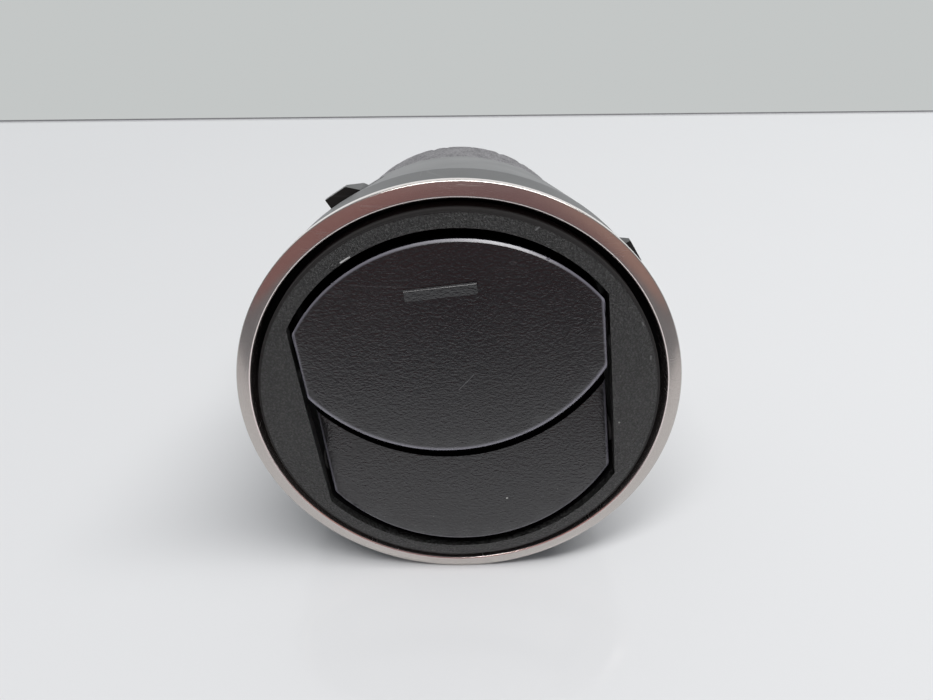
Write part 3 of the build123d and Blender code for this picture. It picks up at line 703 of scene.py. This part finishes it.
@dataclass(frozen=True)
class SmoothPlastic:
    """Plain moulded plastic with a faint mould texture."""

    name: str
    colour: Colour
    roughness: float
    texture: float = 0.01 * MM
    shine: float = 0.5
    mould_size: float = 0.5 * MM
    cloud_size: float = 14 * MM
    cloud_dark: float = 0.8
    cloud_roughness: float = 0.1
    scratch_light: float = 0.08
    scratches: float = 0.3

    def build(self) -> Material:
        """Builds the material."""
        s = Surface(self.name)
        n = s.nodes
        cloud = n.noise(s.place, 1 / self.cloud_size, 2.0)
        marks = s.effect(Effect.HANDLING)
        darker = tuple(c * self.cloud_dark for c in self.colour)
        lighter = tuple(min(1.0, c + self.scratch_light) for c in self.colour)
        base = n.blend(cloud, rgba(darker), rgba(self.colour))
        scratched = n.times(marks.outputs["Scratch"], self.scratches)
        s.set(Base_Color=n.blend(scratched, base, rgba(lighter)), Specular_IOR_Level=self.shine)
        smoothest = self.roughness - 0.5 * self.cloud_roughness
        s.set(Roughness=n.plus(n.times(cloud, self.cloud_roughness), smoothest))
        s.set(Normal=s.bump(n.noise(s.place, 1 / self.mould_size, 4.0), self.texture))
        return s.material


@dataclass(frozen=True)
class OpenCellFoam:
    """Grey open-cell foam: small dark cells in a paler skeleton."""

    name: str = "grey open-cell foam"
    pale: Colour = (0.33, 0.325, 0.34)
    dark: Colour = (0.1, 0.1, 0.105)
    cell: float = 0.55 * MM
    cell_range: tuple[float, float] = (0.25, 0.75)
    cell_share: float = 0.45
    cell_depth: float = 0.12 * MM
    patch: float = 4 * MM
    patch_range: tuple[float, float] = (0.35, 0.65)
    patch_share: float = 0.3

    def build(self) -> Material:
        """Builds the material."""
        s = Surface(self.name)
        n = s.nodes
        cells = n.cells(s.place, 1 / self.cell).outputs["Distance"]
        pits = n.remap(cells, *self.cell_range)
        patches = n.remap(n.noise(s.place, 1 / self.patch, 4.0), *self.patch_range)
        shade = n.plus(n.times(pits, self.cell_share), n.times(patches, self.patch_share))
        s.set(Base_Color=n.blend(shade, rgba(self.pale), rgba(self.dark)), Roughness=0.95)
        s.set(Specular_IOR_Level=0.2, Sheen_Weight=0.2, Sheen_Roughness=0.6)
        s.set(Normal=s.bump(n.minus(1.0, pits), self.cell_depth))
        return s.material


FACE_MARKS = (
    # A near-white sliver drawn along the opening's upper left edge, then grey scratches and a pale
    # speck.
    Stroke((-21.9, 31.15), (-20.15, 32.25), 0.34, (0.86, 0.86, 0.84), 1.0),
    Stroke((14.0, 37.3), (14.7, 37.9), 0.3, (0.26, 0.26, 0.26), 0.8),
    Stroke((35.6, 18.7), (35.85, 18.2), 0.3, (0.26, 0.26, 0.26), 0.7),
    Stroke((38.1, 11.4), (38.2, 10.6), 0.22, (0.3, 0.29, 0.3), 0.7),
    Stroke((33.2, -3.97), (33.25, -3.97), 0.4, (0.6, 0.59, 0.56), 0.8),
)
FLAP_MARKS = (
    Stroke((-0.06, 4.85), (2.89, 8.21), 0.16, (0.12, 0.12, 0.125), 0.8),
    Stroke((10.4, -24.25), (10.5, -24.2), 0.4, (0.6, 0.59, 0.56), 0.8),
)


def dress(node: str, material: Material) -> list[Piece]:
    """Gives a CAD node a material.

    Args:
        node: the node's name.
        material: the finish that it gets.

    Returns:
        The node's object, in a list.
    """
    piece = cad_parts[node]
    piece.data.materials.clear()
    piece.data.materials.append(material)
    return [piece]


def stand_in(piece: Piece, node: str, body: str) -> list[Piece]:
    """Lets a new piece stand for a CAD node.

    Args:
        piece: the new piece, in place.
        node: the CAD node that it replaces.
        body: the body that it rides on.

    Returns:
        The piece, in a list.
    """
    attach(piece, body)
    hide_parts(node)
    return [piece]


def merged_copy(node: str, material: Material) -> bpy.types.Mesh:
    """Copies a CAD node's mesh and joins its loose triangles.

    Args:
        node: the node's name.
        material: the copy's finish.

    Returns:
        The joined mesh, smooth all over.
    """
    joined = bmesh.new()
    joined.from_mesh(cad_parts[node].data)
    bmesh.ops.remove_doubles(joined, verts=joined.verts, dist=0.0005 * MM)
    for face in joined.faces:
        face.smooth = True
        face.material_index = 0
    mesh = bpy.data.meshes.new(node + "_joined")
    joined.to_mesh(mesh)
    joined.free()
    if "custom_normal" in mesh.attributes:
        mesh.attributes.remove(mesh.attributes["custom_normal"])
    mesh.materials.append(material)
    return mesh


def even_shading(piece: Piece, sharp_from: float, flat_from: float) -> None:
    """Shades a piece so that its narrow chamfers look rounded and its wide faces stay even.

    Args:
        piece: the piece, whose mesh is replaced.
        sharp_from: edges that bend more than this stay sharp.
        flat_from: farther than this from the axis, and above it, half that bend is enough.
    """
    shape = bmesh.new()
    shape.from_mesh(piece.data)
    for edge in shape.edges:
        top = all(v.co.z > 0.0 and math.hypot(v.co.x, v.co.z) > flat_from for v in edge.verts)
        limit = 0.5 * sharp_from if top else sharp_from
        edge.smooth = len(edge.link_faces) == 2 and edge.calc_face_angle(0.0) < limit
    for face in shape.faces:
        face.smooth = True
    shape.to_mesh(piece.data)
    shape.free()
    weighted = piece.modifiers.new("even", "WEIGHTED_NORMAL")
    weighted.keep_sharp = True
    weighted.weight = 90
    settle(piece, weighted)


@dataclass
class RearHousing:
    """The one-piece housing with its barrel, spigot and latches."""

    finish: SmoothPlastic = SmoothPlastic("black housing plastic", (0.02, 0.0215, 0.0205), 0.4)

    def build(self) -> list[Piece]:
        """Dresses the housing."""
        return dress("housing", self.finish.build())


@dataclass
class TrimRing(Grown):
    """The painted ring round the face, turned from its section, with six barbs behind it."""

    outer_radius: float = 46.0 * MM
    lip_radius: float = 42.85 * MM
    skirt_radius: float = 43.75 * MM
    flange_depth: float = -1.0 * MM
    rim_front: float = -2.4 * MM
    lip_front: float = -3.32 * MM
    skirt_end: float = 2.4 * MM
    crown: float = 0.14 * MM
    crown_radius: float = 8.0 * MM
    edge_radius: float = 0.45 * MM
    segments: int = 360
    barbs: int = 6
    barb_angle: float = 0.0
    barb_width: float = 7.0 * MM
    barb_root: float = 0.4 * MM
    barb_rise: float = 0.8 * MM
    barb_front: float = 0.7 * MM
    barb_length: float = 1.4 * MM
    finish: SatinPaint = field(default_factory=SatinPaint)

    def section(self, r: Recipe) -> Socket:
        """Draws the ring's closed section, with its two front edges rounded."""
        outer, lip, skirt = r.all_given("Outer Radius", "Lip Radius", "Skirt Radius")
        flange, skirt_end = r.all_given("Flange Depth", "Skirt End")
        rim_front, lip_front = r.all_given("Rim Front", "Lip Front")
        middle = r.times(r.plus(outer, lip), 0.5)
        level = r.times(r.plus(rim_front, lip_front), 0.5)
        corners = [
            r.point(outer, flange),
            r.point(outer, rim_front),
            r.point(middle, r.minus(level, r.given("Crown"))),
            r.point(lip, lip_front),
            r.point(lip, skirt_end),
            r.point(skirt, skirt_end),
            r.point(skirt, flange),
        ]
        line = r.add("GeometryNodeMeshLine", {"mode": "OFFSET"}, Count=len(corners))
        drawn = r.add("GeometryNodeSetPosition", Geometry=line.outputs[0])
        r.feed(drawn.inputs["Position"], r.choose("VECTOR", corners))
        curve = r.add("GeometryNodeMeshToCurve", Mesh=drawn.outputs[0]).outputs[0]
        loop = r.add("GeometryNodeSetSplineCyclic", Geometry=curve, Cyclic=True).outputs[0]
        edge, crown = r.all_given("Edge Radius", "Crown Radius")
        as_lines = {"mode": "POLY"}
        fillet = r.add("GeometryNodeFilletCurve", as_lines, Curve=loop, Count=10, Limit_Radius=True)
        r.feed(fillet.inputs["Radius"], r.choose("FLOAT", [0.0, edge, crown, edge, 0.0, 0.0, 0.0]))
        return fillet.outputs[0]

    def barb_ring(self, r: Recipe) -> Socket:
        """Makes the barbs, thick at their catching face and thin towards the rear."""
        skirt, front, rise = r.all_given("Skirt Radius", "Barb Front", "Barb Rise")
        root, tip = r.minus(skirt, r.given("Barb Root")), r.plus(skirt, rise)
        rear = r.plus(front, r.given("Barb Length"))
        block = r.add("GeometryNodeMeshCube", Size=(1.0, 1.0, 1.0))
        x, y, z = r.parts(r.position())
        outside, behind = r.plus(x, 0.5), r.plus(y, 0.5)
        reach = r.minus(tip, r.times(behind, rise))
        radius = r.plus(root, r.times(outside, r.minus(reach, root)))
        depth = r.plus(front, r.times(behind, r.minus(rear, front)))
        wedge = r.add("GeometryNodeSetPosition", Geometry=block.outputs[0])
        r.feed(wedge.inputs["Position"], r.point(radius, depth, r.times(z, r.given("Barb Width"))))
        count = r.given("Barbs")
        index = r.add("GeometryNodeInputIndex").outputs[0]
        turn = r.plus(r.times(index, r.over(math.tau, count)), r.given("Barb Angle"))
        facing = r.add("FunctionNodeEulerToRotation", Euler=r.point(0.0, r.times(turn, -1.0)))
        copies = r.add("GeometryNodeInstanceOnPoints", Instance=wedge.outputs[0])
        r.feed(copies.inputs["Points"], r.add("GeometryNodePoints", Count=count).outputs[0])
        r.feed(copies.inputs["Rotation"], facing.outputs[0])
        return copies.outputs[0]

    def build(self) -> list[Piece]:
        """Grows the ring, which stands for its CAD node."""
        r = self.recipe("turned trim ring", "Finish")
        join = r.add("GeometryNodeJoinGeometry")
        r.feed(join.inputs[0], r.turned(self.section(r), r.given("Segments")))
        r.feed(join.inputs[0], self.barb_ring(r))
        r.finish(join.outputs[0], math.radians(35))
        ring = r.grow("trim_ring", self.sizes() | {"Finish": self.finish.build()})
        return stand_in(ring, "bezel_ring", "housing")


@dataclass
class TurningFace:
    """The disc that turns, with its cage and friction band."""

    face: GrainedPlastic = GrainedPlastic(
        name="grained face plastic",
        grain=Effect.SPARK_GRAIN,
        cell=0.44 * MM,
        depth=1.1 * MM,
        dark=BLACK,
        light=(0.066, 0.0675, 0.0655),
        roughness=0.36,
        shine=0.8,
        strokes=FACE_MARKS,
        roll_off=(37.6 * MM, 40.6 * MM, 0.16 * MM),
        # The face's outer rim is darkened as painted shade.
        rim=(40.4 * MM, 40.75 * MM),
    )
    cage: SmoothPlastic = SmoothPlastic(
        "black cage plastic", (0.006, 0.006, 0.007), 0.85, shine=0.15
    )
    band: SmoothPlastic = SmoothPlastic("friction band rubber", (0.03, 0.03, 0.03), 0.85)

    def build(self) -> list[Piece]:
        """Dresses the face, cage and band."""
        made = dress("rotor_face", self.face.build())
        made += dress("rotor_cage", self.cage.build())
        return made + dress("friction_band", self.band.build())


@dataclass
class Rebate(Grown):
    """The step in the lower flap that the upper flap's lower edge closes over."""

    reach: float = 3.1 * MM
    width: float = 4.3 * MM
    depth: float = 1.6 * MM
    thickness: float = 9.0 * MM
    half_sweep: float = math.radians(57.0)
    edge_radius: float = FLAP_ARC
    edge_centre: float = UPPER_FLAP_ARC_CENTRE
    crown_radius: float = 400.0 * MM
    crown_back: float = 395.25 * MM
    crown_rise: float = -41.84 * MM
    finish: SmoothPlastic = SmoothPlastic("matt rebate", (0.007, 0.007, 0.0075), 0.95, shine=0.05)

    def crowned(self, r: Recipe, across: Socket, height: Socket) -> Socket:
        """Gives the depth of the lower flap's crowned face at a place."""
        off = r.minus(height, r.given("Crown Rise"))
        flat = r.plus(r.times(across, across), r.times(off, off))
        radius = r.given("Crown Radius")
        run = r.math("SQRT", r.minus(r.times(radius, radius), flat))
        return r.minus(r.given("Crown Back"), run)

    def cutter(self, r: Recipe) -> Socket:
        """Bends a block along the upper flap's lower edge, its floor a little under the face."""
        counts = {"Vertices_X": 97, "Vertices_Y": 2, "Vertices_Z": 2}
        block = r.add("GeometryNodeMeshCube", Size=(1.0, 1.0, 1.0), **counts)
        u, v, w = (r.plus(part, 0.5) for part in r.parts(r.position()))
        angle = r.times(r.minus(u, 0.5), r.times(r.given("Half Sweep"), 2.0))
        outer = r.plus(r.given("Edge Radius"), r.given("Reach"))
        radius = r.minus(outer, r.times(w, r.given("Width")))
        across = r.times(radius, r.math("SINE", angle))
        height = r.minus(r.given("Edge Centre"), r.times(radius, r.math("COSINE", angle)))
        floor = r.plus(self.crowned(r, across, height), r.given("Depth"))
        depth = r.minus(floor, r.times(r.minus(1.0, v), r.given("Thickness")))
        sine, cosine = math.sin(ROTOR_TURN), math.cos(ROTOR_TURN)
        x = r.minus(r.times(across, cosine), r.times(height, sine))
        z = r.plus(r.times(across, sine), r.times(height, cosine))
        bent = r.add("GeometryNodeSetPosition", Geometry=block.outputs[0])
        r.feed(bent.inputs["Position"], r.point(x, depth, z))
        return bent.outputs[0]

    def cut(self, plain: bpy.types.Mesh, skin: Material) -> Piece:
        """Cuts the rebate into the lower flap.

        Args:
            plain: the lower flap's merged copy.
            skin: the grained finish of its faces.

        Returns:
            The rebated flap.
        """
        r = self.recipe("rebated flap", "Rebate Finish", "Skin Finish")
        carving, rest_of_it = r.all_given("Rebate Finish", "Skin Finish")
        tool = r.add("GeometryNodeSetMaterial", Geometry=self.cutter(r), Material=carving)
        exact = {"operation": "DIFFERENCE", "solver": "EXACT"}
        cut = r.add("GeometryNodeMeshBoolean", exact)
        r.feed(cut.inputs["Mesh 1"], r.given("Start"))
        r.feed(cut.inputs["Mesh 2"], tool.outputs[0])
        whole = r.add("GeometryNodeRealizeInstances", Geometry=cut.outputs["Mesh"]).outputs[0]
        carved = r.add("GeometryNodeMaterialSelection", Material=carving)
        rest = r.add("FunctionNodeBooleanMath", {"operation": "NOT"})
        r.feed(rest.inputs[0], carved.outputs[0])
        dressed = r.add("GeometryNodeSetMaterial", Geometry=whole, Material=rest_of_it)
        r.feed(dressed.inputs["Selection"], rest.outputs[0])
        r.give(Mesh=dressed.outputs[0])
        finishes = {"Rebate Finish": self.finish.build(), "Skin Finish": skin}
        return r.grow("rebated_lower_flap", self.sizes() | finishes, plain)


@dataclass
class FlapPair:
    """Both flaps with their bushes and link."""

    skin: GrainedPlastic = GrainedPlastic(
        name="grained upper flap plastic",
        grain=Effect.LEATHER_GRAIN,
        cell=0.5 * MM,
        depth=0.12 * MM,
        dark=(0.0015, 0.0015, 0.003),
        light=(0.013, 0.013, 0.019),
        roughness=0.27,
        shine=1.0,
        strokes=FLAP_MARKS,
        # Painted highlights along the upper flap's top arc, lower arc and straight sides.
        edges=(
            EdgeHighlight(0.0, -1.8 * MM, FLAP_ARC, 0.45 * MM, 0.55),
            EdgeHighlight(0.0, UPPER_FLAP_ARC_CENTRE, FLAP_ARC, 1.0 * MM, 0.9),
            *FLAP_SIDE_HIGHLIGHTS,
        ),
    )
    # Painted highlight along the lower flap's bottom arc.
    lower_edge: EdgeHighlight = EdgeHighlight(0.0, 1.8 * MM, FLAP_ARC, 0.7 * MM, 0.4)
    rebate: Rebate = field(default_factory=Rebate)
    sharp_from: float = math.radians(52.0)
    flat_from: float = 34.4 * MM
    rubber: SmoothPlastic = SmoothPlastic("bush rubber", (0.02, 0.02, 0.02), 0.8)
    natural: SmoothPlastic = SmoothPlastic("natural link plastic", (0.62, 0.61, 0.57), 0.45)

    def build(self) -> list[Piece]:
        """Makes both flaps and dresses what carries them."""
        skin = self.skin.build()
        lower_name, lower_highlights = "grained lower flap plastic", (self.lower_edge, *FLAP_SIDE_HIGHLIGHTS)
        lower_skin = replace(self.skin, name=lower_name, edges=lower_highlights).build()
        rubber = self.rubber.build()
        upper = placed("upper_flap_panel", merged_copy("upper_flap", skin))
        lower = self.rebate.cut(merged_copy("lower_flap", lower_skin), lower_skin)
        made = []
        for piece, node in ((upper, "upper_flap"), (lower, "lower_flap")):
            even_shading(piece, self.sharp_from, self.flat_from)
            made += stand_in(piece, node, node)
        for row in ("upper", "lower"):
            for hand in ("left", "right"):
                made += dress(f"{row}_bush_{hand}", rubber)
        return made + dress("link_bar", self.natural.build())


@dataclass
class FoamStrip(Grown):
    """The strip of open-cell foam round the spigot, with its pitted skin and its seam below."""

    outer_radius: float = 35.8 * MM
    inner_radius: float = 34.1 * MM
    front: float = 47.65 * MM
    rear: float = 79.05 * MM
    corner: float = 0.5 * MM
    around: int = 430
    along: int = 128
    pit_size: float = 2.6 * MM
    pit_depth: float = 0.34 * MM
    swell: float = 0.2 * MM
    seam_angle: float = math.radians(270.0)
    seam_width: float = 0.6 * MM
    seam_depth: float = 1.1 * MM
    seed: int = 7
    pit_range: tuple[float, float] = (0.5, 0.66)
    seam_range: tuple[float, float] = (0.4, 1.1)
    finish: OpenCellFoam = field(default_factory=OpenCellFoam)

    def hollows(self, r: Recipe, place: Socket) -> tuple[Socket, Socket]:
        """Gives the pits' depth and the broad swelling at a place."""
        swell_scale, swell_level = 0.22, 0.55
        size, seed = r.all_given("Pit Size", "Seed")
        four = {"noise_dimensions": "4D"}
        fine = r.add("ShaderNodeTexNoise", four, Vector=place, W=seed, Detail=3.0, Roughness=0.62)
        r.feed(fine.inputs["Scale"], r.over(1.0, size))
        broad = r.add("ShaderNodeTexNoise", four, Vector=place, W=seed, Detail=1.0)
        r.feed(broad.inputs["Scale"], r.over(swell_scale, size))
        pits = r.times(r.remap(fine.outputs[0], *self.pit_range), r.given("Pit Depth"))
        return pits, r.times(r.minus(broad.outputs[0], swell_level), r.given("Swell"))

    def skin(self, r: Recipe, sleeve: Socket) -> Socket:
        """Pits and swells the sleeve's outer side and presses the seam in."""
        place = r.position()
        x, _, z = r.parts(place)
        outwards = r.vector("NORMALIZE", r.point(x, 0.0, z))
        radius = r.vector("LENGTH", r.point(x, 0.0, z))
        inner = r.given("Inner Radius")
        share = r.over(r.minus(radius, inner), r.minus(r.given("Outer Radius"), inner))
        outside = r.math("POWER", r.math("MAXIMUM", share, 0.0), 3.0)
        pits, waves = self.hollows(r, place)
        gap = r.math("COSINE", r.minus(r.math("ARCTAN2", z, x), r.given("Seam Angle")))
        sweep = r.times(r.math("ARCCOSINE", gap), radius)
        beside = r.remap(r.over(sweep, r.given("Seam Width")), *self.seam_range)
        sunk = r.plus(pits, r.times(r.minus(1.0, beside), r.given("Seam Depth")))
        push = r.times(r.minus(waves, sunk), outside)
        moved = r.add("GeometryNodeSetPosition", Geometry=sleeve, Offset=r.scaled(outwards, push))
        return moved.outputs[0]

    def build(self) -> list[Piece]:
        """Grows the foam, which stands for its plain solid."""
        r = self.recipe("foam sleeve", "Finish")
        outline = r.add("GeometryNodeCurvePrimitiveQuadrilateral", {"mode": "POINTS"})
        inner, outer, front, rear = r.all_given("Inner Radius", "Outer Radius", "Front", "Rear")
        corners = ((outer, front), (outer, rear), (inner, rear), (inner, front))
        for place, corner in enumerate(corners, start=1):
            r.feed(outline.inputs[f"Point {place}"], r.point(*corner))
        as_lines = {"mode": "POLY"}
        rounded = r.add("GeometryNodeFilletCurve", as_lines, Curve=outline.outputs[0], Count=4)
        r.feed(rounded.inputs["Radius"], r.given("Corner"))
        dense = r.add("GeometryNodeResampleCurve", Curve=rounded.outputs[0], Count=r.given("Along"))
        sleeve = r.turned(dense.outputs[0], r.given("Around"))
        r.finish(self.skin(r, sleeve), math.radians(60))
        foam = r.grow("foam_strip", self.sizes() | {"Finish": self.finish.build()})
        stand_in(foam, "foam_seal", "housing")
        return [foam]


@dataclass
class Studio:
    """Pale glossy table, low pale backdrop, a dim card in front, a soft lamp and the camera."""

    front_rest: Vector = field(default_factory=lambda: Vector((0.0, -2.4 * MM, -46.0 * MM)))
    rear_rest: Vector = field(default_factory=lambda: Vector((0.0, 79.1 * MM, -35.65 * MM)))
    half_width: float = 1.1
    front_reach: float = 0.12
    table_colour: Colour = (0.815, 0.825, 0.835)
    table_roughness: float = 0.11
    table_gloss: float = 0.25
    wall_colour: Colour = (0.55, 0.57, 0.565)
    wall_shine: Colour = (1.14, 1.16, 1.18)
    wall_glow: Colour = (0.36, 0.37, 0.375)
    wall_place: float = 0.3647
    wall_height: float = 1.0
    wall_turn: float = math.radians(1.91)
    seam_colour: Colour = (0.3, 0.3, 0.31)
    seam_roughness: float = 0.8
    seam_height: float = 0.9 * MM
    seam_proud: float = 0.5 * MM
    card_place: float = -0.42
    card_half_width: float = 0.85
    card_low: float = -0.045
    card_high: float = 0.42
    card_left: Colour = (0.3, 0.135, 0.125)
    card_middle: Colour = (0.22, 0.115, 0.12)
    card_right: Colour = (0.42, 0.25, 0.21)
    card_left_fade: tuple[float, float] = (-0.2, 0.06)
    card_right_fade: tuple[float, float] = (0.1, 0.4)
    lamp_place: tuple[float, float, float] = (0.15, -0.28, 0.85)
    lamp_aim: tuple[float, float, float] = (0.0, 0.02, 0.0)
    lamp_size: tuple[float, float] = (1.3, 0.2)
    lamp_radiance: float = 10.5
    lamp_tint: Colour = (1.0, 0.99, 0.985)
    room_glow: Colour = (0.19, 0.195, 0.21)
    room_seen: Colour = (0.7, 0.72, 0.74)

    def along(self, distance: float, rise: float = 0.0) -> Vector:
        """Point on the table at a distance back from the ring's rest, raised off it."""
        back = (self.rear_rest - self.front_rest).normalized()
        up = Vector((0.0, -back.z, back.y))
        return self.front_rest + back * distance + up * rise

    def at_wall(self, across: float, rise: float, proud: float = 0.0) -> Vector:
        """Point on the backdrop, which stands a little turned to the vent's axis."""
        distance = self.wall_place + math.tan(self.wall_turn) * across - proud
        return self.along(distance, rise) + Vector((across, 0.0, 0.0))

    def upright(self, height: float, proud: float = 0.0) -> list[Vector]:
        """Corners of a sheet as wide as the table, which stands at the backdrop."""
        wide = self.half_width
        corners = ((-wide, 0.0), (wide, 0.0), (wide, height), (-wide, height))
        return [self.at_wall(across, rise, proud) for across, rise in corners]

    def sheet(self, name: str, corners: list[Vector], finish: Surface) -> Piece:
        """Makes one flat stage sheet."""
        mesh = bpy.data.meshes.new(name)
        mesh.from_pydata([tuple(c) for c in corners], [], [(0, 1, 2, 3)])
        sheet = placed(name, mesh)
        mesh.materials.append(finish.material)
        return sheet

    def plain(self, name: str, colour: Colour, roughness: float) -> Surface:
        """Plain finish for a stage sheet."""
        finish = Surface(name)
        finish.set(Base_Color=rgba(colour), Roughness=roughness)
        return finish

    def glowing(self, name: str) -> Surface:
        """Finish for a stage sheet that shows by its own glow only."""
        finish = Surface(name)
        finish.set(Base_Color=rgba(BLACK), Specular_IOR_Level=0.0, Emission_Strength=1.0)
        return finish

    def backlit(self) -> Surface:
        """Pale backdrop that glows softly from behind, and that is clear from its other side."""
        finish = self.glowing("backlit backdrop")
        n = finish.nodes
        rays = n.add("ShaderNodeLightPath").outputs
        glow = n.blend(rays["Is Glossy Ray"], rgba(self.wall_glow), rgba(self.wall_shine))
        finish.set(Emission_Color=n.blend(rays["Is Camera Ray"], glow, rgba(self.wall_colour)))
        behind = n.add("ShaderNodeNewGeometry").outputs["Backfacing"]
        finish.set(Alpha=n.minus(1.0, behind))
        return finish

    def floor_and_wall(self) -> None:
        """Lays the table and stands the backdrop on it, with a thin dark seam between them."""
        side = Vector((self.half_width, 0.0, 0.0))
        front = self.along(-self.front_reach)
        left, right = self.upright(self.wall_height)[:2]
        top = self.plain("glossy table", self.table_colour, self.table_roughness)
        top.set(Specular_IOR_Level=self.table_gloss)
        self.sheet("table", [front - side, front + side, right, left], top)
        self.sheet("backdrop", self.upright(self.wall_height), self.backlit())
        seam = self.plain("dark seam", self.seam_colour, self.seam_roughness)
        self.sheet("backdrop_seam", self.upright(self.seam_height, self.seam_proud), seam)

    def dim_card(self) -> None:
        """Stands a dim warm card in front, which only the gloss of the vent and table shows."""
        finish = self.glowing("dim warm card")
        n = finish.nodes
        side = n.parts(finish.place)[0]
        left, middle, right = map(rgba, (self.card_left, self.card_middle, self.card_right))
        inner = n.blend(n.remap(side, *self.card_left_fade), left, middle)
        glow = n.blend(n.remap(side, *self.card_right_fade), inner, right)
        finish.set(Emission_Color=glow, Roughness=1.0)
        wide, low, high = self.card_half_width, self.card_low, self.card_high
        corners = ((wide, low), (-wide, low), (-wide, high), (wide, high))
        card = self.sheet("dim_card", [Vector((x, self.card_place, z)) for x, z in corners], finish)
        card.visible_camera = False
        card.visible_diffuse = False

    def lamp(self) -> None:
        """Hangs one soft rectangular lamp that faces the vent."""
        data = bpy.data.lights.new("ceiling_strip", "AREA")
        data.shape = "RECTANGLE"
        width, height = data.size, data.size_y = self.lamp_size
        data.energy = math.pi * width * height * self.lamp_radiance
        data.color = self.lamp_tint
        lamp = placed("ceiling_strip", data)
        lamp.location = self.lamp_place
        aim = Vector(self.lamp_aim) - Vector(self.lamp_place)
        lamp.rotation_euler = aim.to_track_quat("-Z", "Y").to_euler()
        lamp.visible_camera = False

    def room(self) -> None:
        """Sets the room's light, with a pale room for the camera."""
        world = bpy.data.worlds.new("room")
        world.use_nodes = True
        n = Nodes(world.node_tree)
        rays = n.add("ShaderNodeLightPath").outputs
        background = world.node_tree.nodes["Background"]
        seen = n.blend(rays["Is Camera Ray"], rgba(self.room_glow), rgba(self.room_seen))
        n.feed(background.inputs["Color"], seen)
        background.inputs["Strength"].default_value = 1.0
        bpy.context.scene.world = world

    def camera(self) -> None:
        """Sets the camera at the photograph's viewing angle, for an image of 933 by 700."""
        image_width, focal_pixels, sensor = 933.0, 699.4, 36.0
        place = Vector((0.82 * MM, -127.0 * MM, 76.4 * MM))
        right, up = Vector((0.99999, -0.0051, 0.0)), Vector((0.00235, 0.46015, 0.88784))
        data = bpy.data.cameras.new("camera")
        data.sensor_width = sensor
        data.lens = focal_pixels / image_width * sensor
        camera = placed("camera", data)
        axes = Matrix((right, up, right.cross(up))).transposed()
        camera.matrix_world = Matrix.Translation(place) @ axes.to_4x4()
        bpy.context.scene.camera = camera

    def build(self) -> None:
        """Sets up the whole studio."""
        self.floor_and_wall()
        self.dim_card()
        self.lamp()
        self.room()
        self.camera()
        bpy.context.scene.view_settings.view_transform = "Standard"


def main() -> None:
    """Builds each sub-assembly in order and reports its pieces."""
    logging.basicConfig(level=logging.INFO, format="%(name)s: %(message)s")
    for assembly in (RearHousing(), FoamStrip(), TrimRing(), TurningFace(), FlapPair()):
        for piece in assembly.build():
            faces = len(piece.data.polygons)
            log.info("%s: %s, %d faces", type(assembly).__name__, piece.name, faces)
    Studio().build()


if __name__ == "__main__":
    main()
